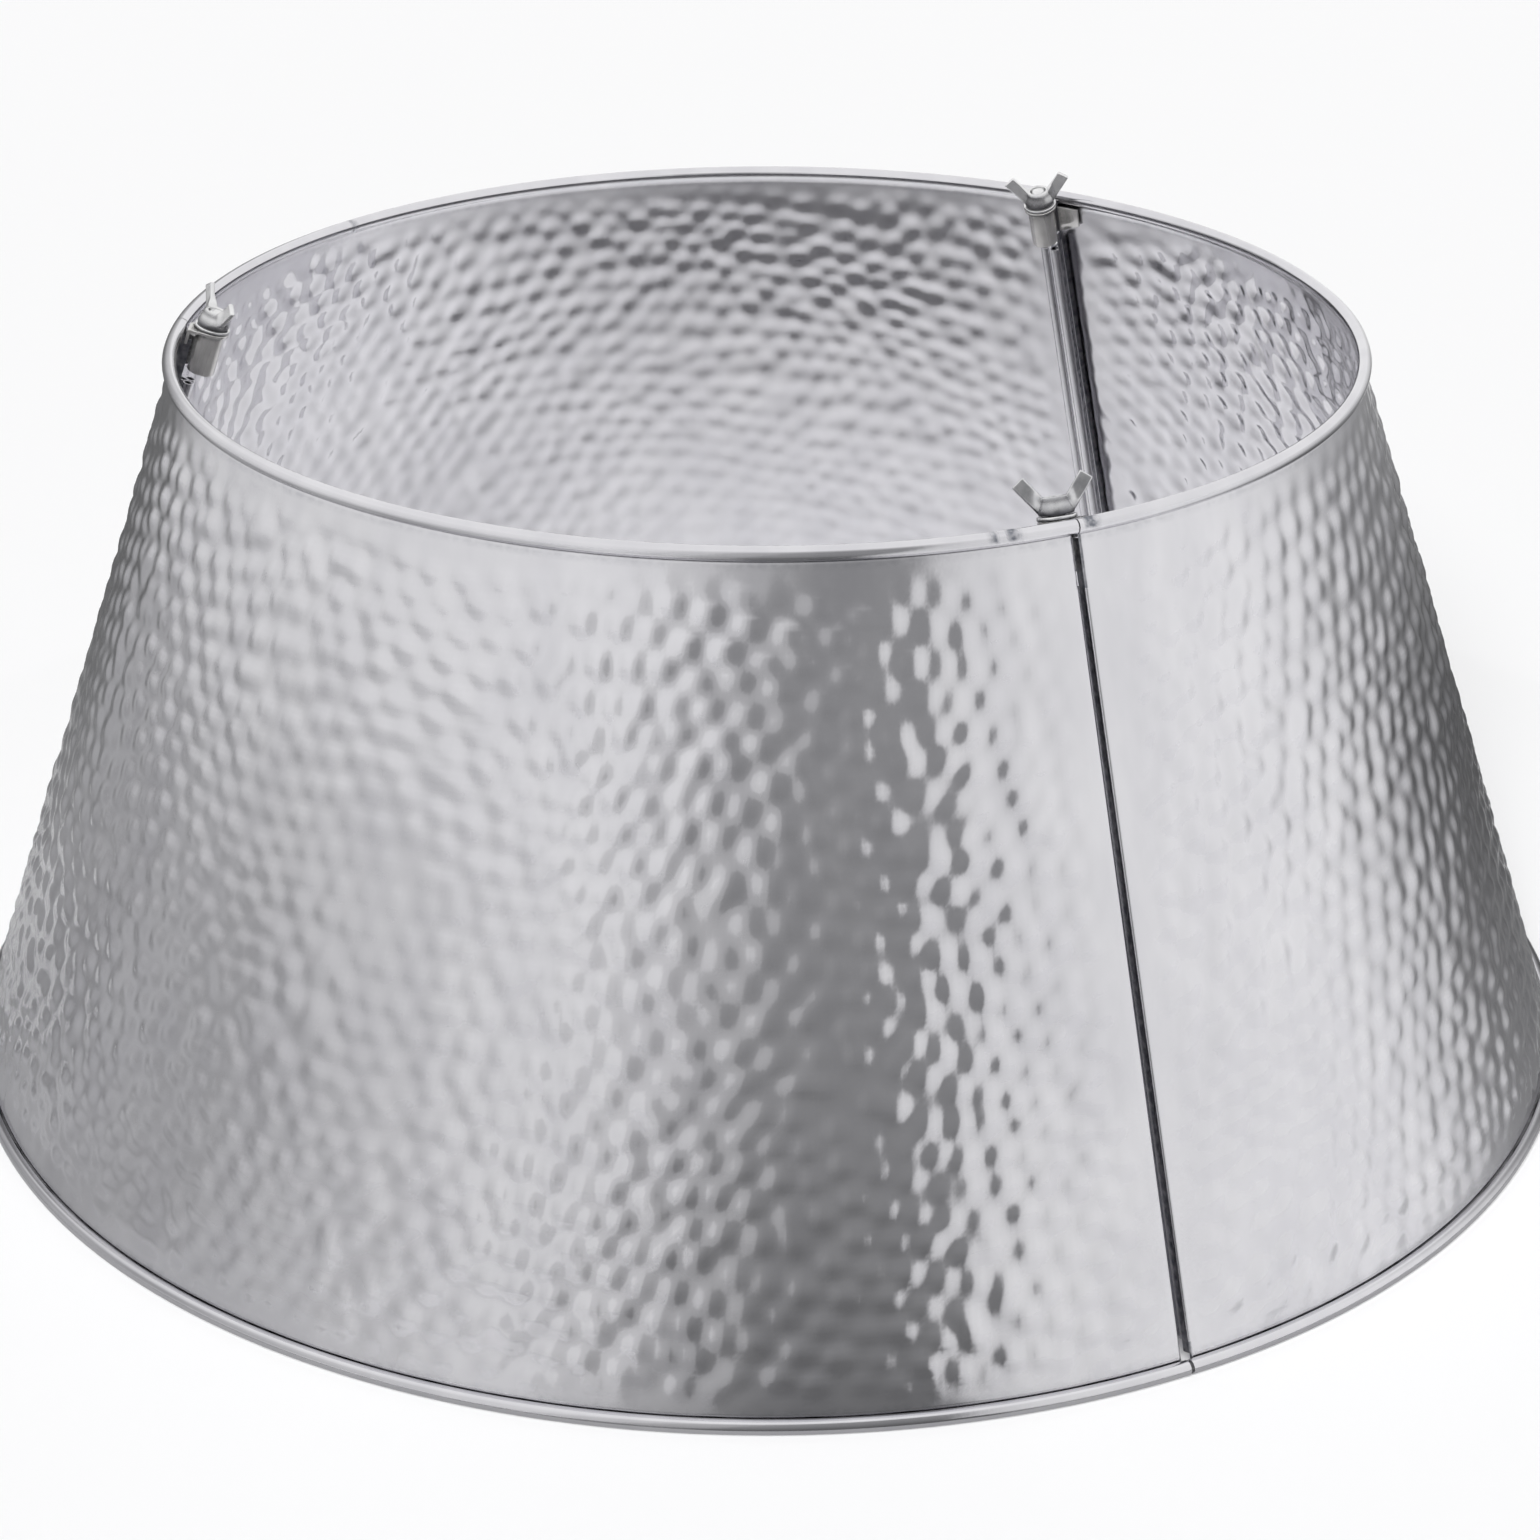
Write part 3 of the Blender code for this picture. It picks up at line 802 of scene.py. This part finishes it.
    def hang_flange(
        self, draft: Draft, rows: Array, side: int, steps: Array, painted_shade: Array | float
    ) -> None:
        """Hangs a folded edge on the wall's end: wall end + away t + inwards n.

        Args:
            draft: Takes the new points.
            rows: Rows of the section that have the edge.
            side: The side that it lies on.
            steps: Rows of (away from the seam, inwards) that the edge passes.
            painted_shade: The painted shade at each step.
        """
        seam, taper = self.seam_at(side), self.cone.taper
        ring = np.array([-sin(seam), cos(seam), 0.0])
        inwards = np.array([-cos(taper) * cos(seam), -cos(taper) * sin(seam), -sin(taper)])
        base = self.cone.at(seam - side * self.end, *self.section[rows].T)
        points = base[:, None] - side * steps[None, :, :1] * ring + steps[None, :, 1:] * inwards
        draft.join(rows, side, points, painted_shade)

    def build(self, finish: Material) -> Object:
        """Builds the panel as a closed sheet.

        Args:
            finish: The sheet's material.

        Returns:
            The piece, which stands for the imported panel.
        """
        draft = self.surface()
        mesh = draft.shell.mesh(f"hammered_{self.name}", closed=False)
        # Stores the painted shade of the creases and seams, and the scuff wear, for the finish.
        paint(mesh, "crease", np.concatenate([part.ravel() for part in draft.shade_and_wear]))
        piece = add_piece(f"hammered_{self.name}", mesh, finish)
        wall = piece.modifiers.new("sheet", "SOLIDIFY")
        wall.thickness = self.sheet
        wall.offset = 0
        wall.use_even_offset = True
        wall.use_quality_normals = True
        apply_modifiers(piece)
        piece.data.set_sharp_from_angle(angle=self.sharp_angle)
        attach(piece, "collar")
        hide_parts(self.name)
        return piece


# ---- Screw clamps ----


@dataclass
class ScrewClamp:
    """A clamp at a seam: sleeve and eye, with stud, washer and wing nut on the stud's axis.

    Its own frame has Z up the stud, X outwards and Y round the collar. A fall is how much nearer
    to the stud a face lies for each metre round the collar. Trims are given corner by corner,
    from the outer low corner on.
    """

    seam: Seam
    plating: Material
    zinc: Material
    nut_finish: Material
    cone: Cone = Cone()
    lean: float = radians(18.7598)
    stud_axis_radius: float = 0.218735
    stud_diameter: float = 0.006
    stud_inset: float = 0.0005
    stud_chamfer: float = 0.0006
    stud_steps: tuple = (221, 40)
    pitch: float = 0.001
    thread_depth: float = 0.00055
    crest_share: float = 0.12
    bore: float = 0.0066
    sleeve_diameter: float = 0.0112
    sleeve_low: float = -0.0200
    sleeve_high: float = -0.0032
    sleeve_trims: tuple = (0.0005, 0.0005, 0.0004, 0.0004)
    sheet: float = 0.0012
    web_face: float = -0.0012
    web_root: float = 0.00445
    web_gap: float = 0.0003
    foot_width: float = 0.012
    foot_flat: float = 0.62
    foot_cut: float = 0.0042
    foot_edge: float = 0.0002
    foot_trims: tuple = (0.0002, 0.0002, 0.0009, 0.0003, 0.0003, 0.0019)
    wall_face: float = 0.0099
    wall_fall: float = 0.0536
    bead_face: float = 0.0087
    bead_fall: float = 0.0584
    bead_bottom: float = -0.0069
    eye_low: float = -0.0029
    eye_diameter: float = 0.0140
    eye_edge: float = 0.00018
    eye_steps: tuple = (84, 10)  # On the arc, on each line.
    tab_near: float = 0.00055
    tab_width: float = 0.0080
    tab_length: float = 0.0060
    tab_back: float = 0.0042
    tab_trims: tuple = (0.0001, 0.0012, 0.0003, 0.0003, 0.0006, 0.0001)
    tab_stations: tuple = ((0, 0.93, 0.97), (0.025, 1, 1), (0.975, 1, 1), (1, 0.93, 0.97))
    washer_low: float = -0.0014
    washer_diameter: float = 0.0142
    washer_thickness: float = 0.0012
    washer_trims: tuple = (0.00012, 0.00042, 0.00025, 0.0001)
    nut_low: float = 0.0001
    hub_base: float = 0.0126
    hub_top: float = 0.0094
    hub_step: float = 0.0014
    hub_height: float = 0.0063
    hub_trims: tuple = (0.0005, 0.0008, 0.0012, 0.0006, 0.0003)
    nut_span: float = 0.0280
    nut_height: float = 0.0140
    wing_root: float = 0.0040
    wing_width: float = 0.0052
    wing_thickness: float = 0.0019
    wing_angle: float = radians(53)
    wing_foot: tuple = (0.0001, 0.0007, 0.0006)  # How far sunk, root's and belly's least height.
    wing_knots: tuple = (0.0, 0.24, 1.0)
    wing_flare: tuple = (1.3, 0.0030)  # Thicker by, within.
    wing_tip: tuple = ((0.97, 0.985, 0.995, 1.0), (1.0, 0.985, 0.95, 0.88))
    wing_steps: tuple = (26, 36)
    cast_grain: float = 0.00022
    cast_passes: int = 3
    # Painted shade: dark colour low on the washer and eye, on the sleeve's plate by the wall, low
    # on the nut's hub and round its wing roots.
    shade_band: float = 0.0003
    shade_strength: float = 0.92
    sleeve_shade: tuple = ((0.0058, -0.0032, -1), (1, 0, 1))
    eye_shade_reach: float = 0.0024
    nut_shade: tuple = (0.95, 0.0027)  # Most, rise.
    wing_root_shade: tuple = (0.6, 0.0004, 0.0008, 0.0052, 0.0012)  # Strength, radius, height.
    sharp_angle: float = radians(40)

    def placement(self) -> Matrix:
        """Places the clamp at its seam, leaning with the wall."""
        spot = polar(self.stud_axis_radius, self.seam.angle, self.cone.top_height)
        turn = Matrix.Rotation(self.seam.angle, 4, "Z") @ Matrix.Rotation(-self.lean, 4, "Y")
        return Matrix.Translation(spot) @ turn

    def settle(
        self, kind: str, shell: Shell, finish: Material, part: str, mover: str = "",
        painted_shade: tuple | None = None,
    ) -> Object:
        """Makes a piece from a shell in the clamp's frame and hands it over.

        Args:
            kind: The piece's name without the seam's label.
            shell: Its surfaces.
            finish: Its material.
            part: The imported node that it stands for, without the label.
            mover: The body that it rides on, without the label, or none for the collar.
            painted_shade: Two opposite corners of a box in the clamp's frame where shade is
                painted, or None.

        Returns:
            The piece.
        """
        name, node = f"{kind}_{self.seam.label}", f"{part}_{self.seam.label}"
        body = f"{mover}_{self.seam.label}" if mover else "collar"
        mesh = shell.mesh(name)
        # Paints shade on the points inside the box.
        if painted_shade:
            place = places(mesh)
            inside = ((place > painted_shade[0]) & (place < painted_shade[1])).all(1)
            paint(mesh, "crease", inside * self.shade_strength)
        mesh.transform(self.placement())
        mesh.set_sharp_from_angle(angle=self.sharp_angle)
        piece = add_piece(name, mesh, finish)
        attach(piece, body)
        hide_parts(node)
        return piece

    def bush(self, diameter: float, low: float, high: float, trims: tuple) -> Shell:
        """A bored disc or sleeve on the stud's axis, from its diameter and its faces' heights."""
        inner, outer = self.bore / 2, diameter / 2
        return revolved(rounded([(outer, low), (outer, high), (inner, high), (inner, low)], trims))

    def build_stud(self) -> Object:
        """The threaded stud: radius = crest - depth t, with t the saw |2 frac(z / pitch - a / tau)
        - 1| cut flat at its tips, and with both ends cut at 45 degrees.

        Returns:
            The piece.
        """
        low = self.sleeve_low + self.stud_inset
        high = self.nut_low + self.hub_height - self.stud_inset
        rows, columns = self.stud_steps
        z, angle = np.linspace(low, high, rows)[:, None], around(columns)
        saw = np.abs(((z / self.pitch - angle / tau) % 1.0) * 2 - 1)
        thread = np.clip((saw - self.crest_share) / (1 - 2 * self.crest_share), 0, 1)
        radius = self.stud_diameter / 2 - self.thread_depth * thread
        limit = self.stud_diameter / 2 - self.stud_chamfer + np.minimum(z - low, high - z)
        shell = Shell()
        shell.tube(polar(np.minimum(radius, limit), angle, z))
        return self.settle("threaded_stud", shell, self.zinc, "clamp_stud")

    def build_washer(self) -> Object:
        """The punched washer: rounded over at the top, sharp below.

        Returns:
            The piece.
        """
        low, high = self.washer_low, self.washer_low + self.washer_thickness
        shell = self.bush(self.washer_diameter, low, high, self.washer_trims)
        # Painted shade low on the washer, where it sits on the eye.
        painted_shade = ((-1, -1, -1), (1, 1, low + self.shade_band))
        return self.settle("punched_washer", shell, self.zinc, "washer", "washer",
                           painted_shade)

    def build_sleeve(self) -> Object:
        """The sleeve with its bent plate, whose foot lies on the wall before the seam.

        Returns:
            The piece.
        """
        low, high = self.sleeve_low, self.sleeve_high
        shell = self.bush(self.sleeve_diameter, low, high, self.sleeve_trims)
        web, root, sheet = self.web_face, self.web_root, self.sheet
        far = web - self.foot_width
        near_x, far_x = (self.wall_face + place * self.wall_fall for place in (web, far))
        corners = [(root, web), (root, web - sheet), (near_x - sheet, web - sheet),
                   (far_x - sheet, far), (far_x, far), (near_x, web)]
        outline = rounded(corners, self.foot_trims, 7)
        past = -outline[:, 1] - self.foot_width * self.foot_flat
        cut = np.clip(past / (self.foot_width * (1 - self.foot_flat)), 0, 1)
        cut = low + self.web_gap + self.foot_cut * cut
        plate(shell, outline, cut, self.bead_bottom - self.web_gap, self.foot_edge)
        # Painted shade on the plate beside the wall.
        return self.settle("welded_sleeve", shell, self.plating, "clamp_sleeve",
                           painted_shade=self.sleeve_shade)

    def build_eye(self) -> Object:
        """The flat eye, with the tab that is bent down against the bead after the seam.

        The eye's outline is an arc and the two lines that touch it from the tab's ends. The tab is
        its upright section, moved along the bead and drawn in a little at both ends.

        Returns:
            The piece.
        """
        radius, hole, edge = self.eye_diameter / 2, self.bore / 2, self.eye_edge
        low, high = self.eye_low, self.eye_low + self.sheet
        near, far = self.tab_near, self.tab_near + self.tab_width
        near_x, far_x = (self.bead_face - place * self.bead_fall for place in (near, far))
        start = atan2(far, far_x) + acos(radius / hypot(far, far_x))
        stop = tau + atan2(near, near_x) - acos(radius / hypot(near, near_x))
        arc_steps, line_steps = self.eye_steps
        arc = radius * circle(np.linspace(start, stop, arc_steps))
        ends = (arc[-1], (near_x, near), (far_x, far), arc[0])
        lines = [np.linspace(one, other, line_steps)[1:] for one, other in zip(ends, ends[1:])]
        outline = np.concatenate([arc, *lines])[:-1]
        spoke = circle(np.arctan2(outline[:, 1], outline[:, 0]))
        inset, bore = outline_normals(outline) * edge, hole * spoke
        loops = ((outline - inset, low), (outline, low + edge),
                 (outline, high - edge), (outline - inset, high),
                 (bore + spoke * edge, high), (bore, high - edge),
                 (bore, low + edge), (bore + spoke * edge, low))
        shell = Shell()
        shell.quads(shell.add(np.stack([raised(*loop) for loop in loops])), Coupling.RING)
        foot, back = high - self.sheet / 4 - self.tab_length, near_x - self.tab_back
        inner_x = near_x - self.sheet
        corners = [(back, high), (near_x, high), (near_x, foot), (inner_x, foot),
                   (inner_x, low), (back, low)]
        section = rounded(corners, self.tab_trims, 7)
        share, wide, tall = np.array(self.tab_stations).T[..., None]
        middle = section.mean(0)
        x = middle[0] + (section[:, 0] - middle[0]) * wide + share * (far_x - near_x)
        x = np.minimum(x, near_x + share * (far_x - near_x))
        z = middle[1] + (section[:, 1] - middle[1]) * tall
        shell.tube(np.stack(np.broadcast_arrays(x, near + share * (far - near), z), -1))
        # Painted shade low on the eye, over the sleeve, short of the tab.
        painted_shade = ((-1, -1, -1), (1, self.eye_shade_reach, low + self.shade_band))
        return self.settle("bent_eye", shell, self.plating, "clamp_eye", painted_shade=painted_shade)

    def add_wing(self, shell: Shell, turn: float) -> None:
        """A wing: stations from the hub to the tip, each a rounded oblong section.

        The section is (sgn(cos a) |cos a|^0.3, sgn(sin a) |sin a|^0.3), set between the wing's
        lower and upper edge, and thicker towards the hub so that it flows into it.

        Args:
            shell: Takes the wing.
            turn: The wing's direction round the hub.
        """
        rows, columns = self.wing_steps
        lean = np.array([cos(self.wing_angle), sin(self.wing_angle)])
        across = np.array([sin(self.wing_angle), -cos(self.wing_angle)])
        tip_low = np.array([self.nut_span / 2, self.nut_height - self.wing_width * lean[0]])
        tip_high = tip_low - self.wing_width * across
        root_high = tip_high + lean * (self.wing_root - tip_high[0]) / lean[0]
        sunk, root_low, lowest = self.wing_foot
        belly = tip_low + lean * (self.hub_base / 2 - sunk - tip_low[0]) / lean[0]
        share = np.concatenate([np.linspace(0, self.wing_tip[0][0], rows), self.wing_tip[0][1:]])
        edge_x = np.interp(share, self.wing_knots, (self.wing_root, belly[0], tip_low[0]))
        belly_z = max(belly[1], lowest)
        edge_z = np.interp(share, self.wing_knots, (root_low, belly_z, tip_low[1]))
        low = np.stack([edge_x, edge_z], -1)
        high = root_high + (tip_high - root_high) * share[:, None]
        oblong = circle(around(columns)[0]).T
        oblong = np.sign(oblong) * np.abs(oblong) ** 0.3
        shrink = np.interp(share, *self.wing_tip)[:, None]
        middle, half = (low + high) / 2, (high - low) / 2
        flare, flare_reach = self.wing_flare
        flared = flare * bell(np.hypot(*(middle - middle[0]).T), flare_reach)
        thick = self.wing_thickness * (1 + flared)
        plane = middle[:, None] + half[:, None] * (oblong[0] * shrink)[..., None]
        y = thick[:, None] / 2 * oblong[1] * shrink
        points = np.stack([plane[..., 0], y, plane[..., 1]], -1)
        shell.tube(points @ np.array(Matrix.Rotation(turn, 3, "Z")).T)

    def build_nut(self) -> Object:
        """The cast wing nut: hub and wings fused, with soft edges all round.

        Returns:
            The piece.
        """
        inner, base, top = self.bore / 2, self.hub_base / 2, self.hub_top / 2
        corners = [(base, 0), (base, self.hub_step), (top, self.hub_height),
                   (inner, self.hub_height), (inner, 0)]
        shell = revolved(rounded(corners, self.hub_trims, 6))
        for turn in (0.0, pi):
            self.add_wing(shell, turn)
        label = self.seam.label
        name = f"cast_wing_nut_{label}"
        piece = add_piece(name, shell.mesh(name), self.nut_finish)
        fuse = piece.modifiers.new("fuse", "REMESH")
        fuse.mode = "VOXEL"
        fuse.voxel_size = self.cast_grain
        fuse.use_smooth_shade = True
        soften = piece.modifiers.new("soften", "SMOOTH")
        soften.factor = 0.5
        soften.iterations = self.cast_passes
        apply_modifiers(piece)
        # Painted shade low on the hub and round the wing roots.
        self.paint_nut_shade(piece.data)
        lift = Matrix.Translation((0, 0, self.nut_low))
        turn = Matrix.Rotation(self.seam.nut_turn, 4, "Z")
        piece.data.transform(self.placement() @ (lift @ turn))
        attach(piece, f"wing_nut_{label}")
        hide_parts(f"wing_nut_{label}")
        return piece

    def paint_nut_shade(self, mesh: Mesh) -> None:
        """Painted shade low on the hub, most exp(-(z / rise)^2), and in a ring round the hub's
        top.

        Args:
            mesh: The nut, standing on the XY plane.
        """
        x, y, z = places(mesh).T
        most, rise = self.nut_shade
        strength, beside, width, height, spread = self.wing_root_shade
        ring = bell(np.hypot(x, y) - self.hub_top / 2 - beside, width) * bell(z - height, spread)
        paint(mesh, "crease", np.clip(bell(z, rise) * most + strength * ring, 0, most))

    def build(self) -> list[Object]:
        """Builds the clamp's five pieces, from the sleeve to the nut."""
        fixed = [self.build_sleeve(), self.build_eye(), self.build_stud()]
        return fixed + [self.build_washer(), self.build_nut()]


@dataclass
class RimWires:
    """The stiffening wires inside the beads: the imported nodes, with a drawn-wire finish."""

    levels: tuple = ("top", "bottom")
    names: tuple = ("right", "rear", "front")

    def dress(self, finish: Material) -> list[Object]:
        """Gives the wires their finish.

        Args:
            finish: Drawn steel wire.

        Returns:
            The six nodes.
        """
        nodes = [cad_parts[f"{level}_wire_{name}"]
                 for level in self.levels for name in self.names]
        for node in nodes:
            for place in node.material_slots:
                place.link = "OBJECT"
                place.material = finish
        return nodes


# ---- Studio ----


@dataclass(frozen=True)
class Flag:
    """A grey studio flag, seen only in reflections: a curved screen round the set, whose foot
    sweeps in over the floor towards the collar.

    Azimuths are in degrees from the camera's side, positive to the camera's right. Heights below
    zero are places on the foot, counted inwards from the screen. Spread is the cover by azimuth,
    rise the cover by height and tones the glow by height. Slant turns the screen further round
    with its height, drawn pulls the foot's azimuths together, lift keeps the foot off the floor,
    and mottle makes the glow wander, with crests at the mottle lengths.
    """

    name: str
    spread: tuple
    rise: tuple
    tones: tuple
    slant: float = 0.0
    foot: float = 0.166
    radius: float = 0.5
    drawn: float = 0.0
    lift: float = 0.0008
    mottle: float = 0.0
    mottle_lengths: tuple = (27, 0.16, 70)
    slant_height: float = 0.17
    steps: tuple = (60, 120)
    glow: tuple = (0.985, 0.99, 1.0, 1)

    def build(self, turn: float) -> None:
        """Builds the screen: point = (r sin a, -r cos a, max(h, lift)), with r = radius +
        min(h, 0) and the azimuth a drawn in towards the front on the foot.

        Args:
            turn: Azimuth of the camera's side in degrees.
        """
        spread, rise, tones = (np.array(pairs).T for pairs in (self.spread, self.rise, self.tones))
        rows, columns = self.steps
        a = np.linspace(spread[0, 0], spread[0, -1], columns)
        height = np.linspace(-self.foot, rise[0, -1], rows)[:, None]
        drawn_in = 1 + self.drawn * np.minimum(height, 0)
        leaning = self.slant * (np.maximum(height, 0) - self.slant_height)
        azimuth = np.radians(a * drawn_in + leaning + turn)
        radius = self.radius + np.minimum(height, 0)
        z = np.maximum(height, self.lift)
        parts = np.broadcast_arrays(radius * np.sin(azimuth), -radius * np.cos(azimuth), z)
        shell = Shell()
        shell.quads(shell.add(np.stack(parts, -1)))
        mesh = shell.mesh(self.name, closed=False)
        level, upright, drift = self.mottle_lengths
        swell = np.sin(a * tau / level) + np.sin(height * tau / upright + a * tau / drift)
        paint(mesh, "cover", np.interp(a, *spread) * np.interp(height, *rise))
        paint(mesh, "tone", np.interp(height, *tones) * (1 + self.mottle * swell))
        bench = Bench(bpy.data.materials.new(self.name))
        bench.nodes.remove(bench.shader)
        glow = bench.add("Emission", Color=self.glow, Strength=bench.stored("tone")).outputs[0]
        clear = bench.add("BsdfTransparent").outputs[0]
        mix = bench.add("MixShader", Fac=bench.stored("cover"), in1=clear, in2=glow).outputs[0]
        bench.add(bench.nodes["Material Output"], Surface=mix)
        screen = add_piece(self.name, mesh, bench.made)
        for rays in ("camera", "diffuse", "transmission", "volume_scatter", "shadow"):
            setattr(screen, f"visible_{rays}", False)


@dataclass
class Studio:
    """Pale floor, white surroundings, a soft lamp, flags, and the camera of the photograph."""

    azimuth: float = 3.1
    distance: float = 1.3310
    height: float = 0.7239
    pitch: float = 0.4402
    yaw: float = 0.0009
    lens: float = 83.1
    sensor: float = 36
    clip: tuple = (0.05, 60)
    ambient: float = 0.20
    key_azimuth: float = -8.0
    key_elevation: float = 41.0
    key_spread: float = 31.0
    key_strength: float = 3.92
    key_distance: float = 3
    floor_rings: tuple = (0.001, 2.25, 4.5, 9.0)
    floor_steps: int = 64
    floor_height: float = -0.0002
    floor_tone: tuple = (0.94, 0.94, 0.945, 1.0)
    floor_roughness: float = 0.7
    floor_shine: float = 0.2
    flags: tuple = (
        Flag("flag_front",
             ((-30, 0), (-22, 0.08), (-17.5, 0.17), (-16, 0.36), (-10, 0.44), (-8.5, 0.66),
              (-2.5, 0.74), (-1, 0.93), (6, 1), (16.9, 1),
              (18.6, 0.62), (20.4, 0.34), (26, 0.2), (38, 0.1), (52, 0.04), (66, 0)),
             ((-0.166, 0.95), (0, 1), (0.4, 1), (0.65, 0)),
             ((-0.15, 0.13), (0, 0.18), (0.1, 0.27), (0.3, 0.33)), slant=17.5),
        Flag("flag_right",
             ((64, 0), (74, 0.14), (82, 0.36), (90, 0.72), (98, 0.93), (106, 1), (128, 1),
              (142, 0)),
             ((-0.166, 1), (0, 1), (0.2, 0.96), (0.4, 0)),
             ((-0.166, 0.24), (0, 0.15), (0.06, 0.10), (0.2, 0.28), (0.4, 0.5)), drawn=1.6),
        Flag("flag_left",
             ((-156, 0), (-142, 0.97), (-90, 0.97), (-74, 0.9), (-61, 0.86), (-46, 0.7),
              (-30, 0.35), (-20, 0.1), (-14, 0)),
             ((-0.166, 1), (0.04, 1), (0.126, 0.9), (0.21, 0.62), (0.28, 0.32), (0.4, 0.18),
              (0.6, 0)),
             ((-0.166, 0.38), (0.2, 0.36), (0.4, 0.45)), mottle=0.12),
        Flag("flag_left_back",
             ((-152, 0), (-144, 1), (-120, 1), (-112, 0.6), (-104, 0.22), (-94, 0.05), (-86, 0)),
             ((-0.156, 0.2), (0, 0.6), (0.06, 1), (0.3, 1), (0.5, 0)),
             ((-0.156, 0.36), (0, 0.3), (0.05, 0.18), (0.12, 0.14), (0.3, 0.22)),
             foot=0.156, radius=0.49),
        Flag("flag_ring",
             ((-180, 1), (180, 1)),
             ((-0.049, 0.8), (-0.038, 0.8), (-0.012, 0.4), (-0.001, 0), (0, 0)),
             ((-0.049, 0.3), (-0.01, 0.45), (0, 0.5)), foot=0.049, radius=0.371, lift=0.0001),
    )

    def build_camera(self) -> None:
        """Sets the camera: forwards = (sin yaw cos pitch, cos yaw cos pitch, -sin pitch), turned
        round the axis to the photograph's azimuth."""
        turn = Matrix.Rotation(radians(self.azimuth), 3, "Z")
        flat = cos(self.pitch)
        ahead = turn @ Vector((sin(self.yaw) * flat, cos(self.yaw) * flat, -sin(self.pitch)))
        right = turn @ Vector((cos(self.yaw), -sin(self.yaw), 0))
        facing = Matrix((right, right.cross(ahead), -ahead)).transposed().to_4x4()
        data = bpy.data.cameras.new("photo_camera")
        data.lens = self.lens
        data.sensor_width = self.sensor
        data.clip_start, data.clip_end = self.clip
        camera = bpy.data.objects.new("photo_camera", data)
        place = turn @ Vector((0, -self.distance, self.height))
        camera.matrix_world = Matrix.Translation(place) @ facing
        bpy.context.scene.collection.objects.link(camera)
        bpy.context.scene.camera = camera

    def build_floor(self) -> None:
        """Lays the round pale floor: point = (r cos a, r sin a, h) for each ring's radius r."""
        rings = np.array(self.floor_rings)[:, None]
        shell = Shell()
        index = shell.add(polar(rings, around(self.floor_steps), self.floor_height))
        shell.quads(index, Coupling.ROUND)
        shell.cap(index[0][::-1])
        bench = Bench(bpy.data.materials.new("pale_floor"))
        finish = bench.complete(Base_Color=self.floor_tone, Roughness=self.floor_roughness,
                                Specular_IOR_Level=self.floor_shine)
        floor = add_piece("pale_floor", shell.mesh("pale_floor", closed=False), finish)

    def build_world(self) -> None:
        """White surroundings for the camera and for reflections, a plain level for the light."""
        bench = Bench(bpy.data.worlds.new("white_studio"), "Background")
        path = bench.add("LightPath").outputs
        seen = path["Is Camera Ray"]
        for kind in ("Is Glossy Ray", "Is Transmission Ray"):
            seen = bench.math("MAXIMUM", seen, path[kind])
        level = bench.mapped(seen, FULL_RANGE, (self.ambient, 1.0))
        bpy.context.scene.world = bench.complete(Color=(1, 1, 1, 1), Strength=level)

    def build_key(self) -> None:
        """Sets the soft key lamp, high on the camera's side, which lights the whole set evenly."""
        data = bpy.data.lights.new("key_lamp", "SUN")
        data.energy = self.key_strength
        data.angle = radians(self.key_spread)
        azimuth, elevation = radians(self.key_azimuth + self.azimuth), radians(self.key_elevation)
        flat = cos(elevation)
        back = Vector((sin(azimuth) * flat, -cos(azimuth) * flat, sin(elevation)))
        lamp = bpy.data.objects.new("key_lamp", data)
        lamp.visible_glossy = False
        lamp.location = back * self.key_distance
        lamp.rotation_euler = (-back).to_track_quat("-Z", "Y").to_euler()
        bpy.context.scene.collection.objects.link(lamp)

    def build(self) -> None:
        """Sets up the whole studio."""
        bpy.context.scene.view_settings.view_transform = "Standard"
        self.build_world()
        self.build_floor()
        self.build_key()
        for flag in self.flags:
            flag.build(self.azimuth)
        self.build_camera()


def report(piece: Object) -> None:
    """Logs a piece's name and size."""
    piece.data.calc_loop_triangles()
    LOG.info("%s: %d triangles", piece.name, len(piece.data.loop_triangles))


def main() -> None:
    """Builds the collar's pieces in order and the studio round them."""
    logging.basicConfig(level=logging.INFO, format="%(name)s: %(message)s")
    sheet = SheetFinish().material()
    zinc = PlatingFinish("bright_zinc_finish", (0.80, 0.80, 0.80, 1), (0.68, 0.68, 0.69, 1),
                         (0.10, 0.20)).material()
    worn = PlatingFinish("worn_zinc_finish", (0.74, 0.74, 0.75, 1), (0.52, 0.52, 0.54, 1),
                         (0.10, 0.22), metal=1.0).material()
    plating = PlatingFinish("clamp_plate_finish", (0.72, 0.71, 0.70, 1), (0.60, 0.59, 0.58, 1),
                            (0.12, 0.20)).material()
    wire = PlatingFinish("rim_wire_finish", (0.52, 0.52, 0.53, 1), (0.36, 0.36, 0.37, 1),
                         (0.30, 0.50)).material()
    names = ("panel_right", "panel_rear", "panel_front")
    for seed, (name, seam) in enumerate(zip(names, Seam)):
        report(Panel(name, seam.angle, Hammering(seed=11 + 10 * seed)).build(sheet))
    for node in RimWires().dress(wire):
        report(node)
    for seam in Seam:
        for piece in ScrewClamp(seam, plating, zinc, worn if seam is Seam.FRONT else zinc).build():
            report(piece)
    Studio().build()


if __name__ == "__main__":
    main()
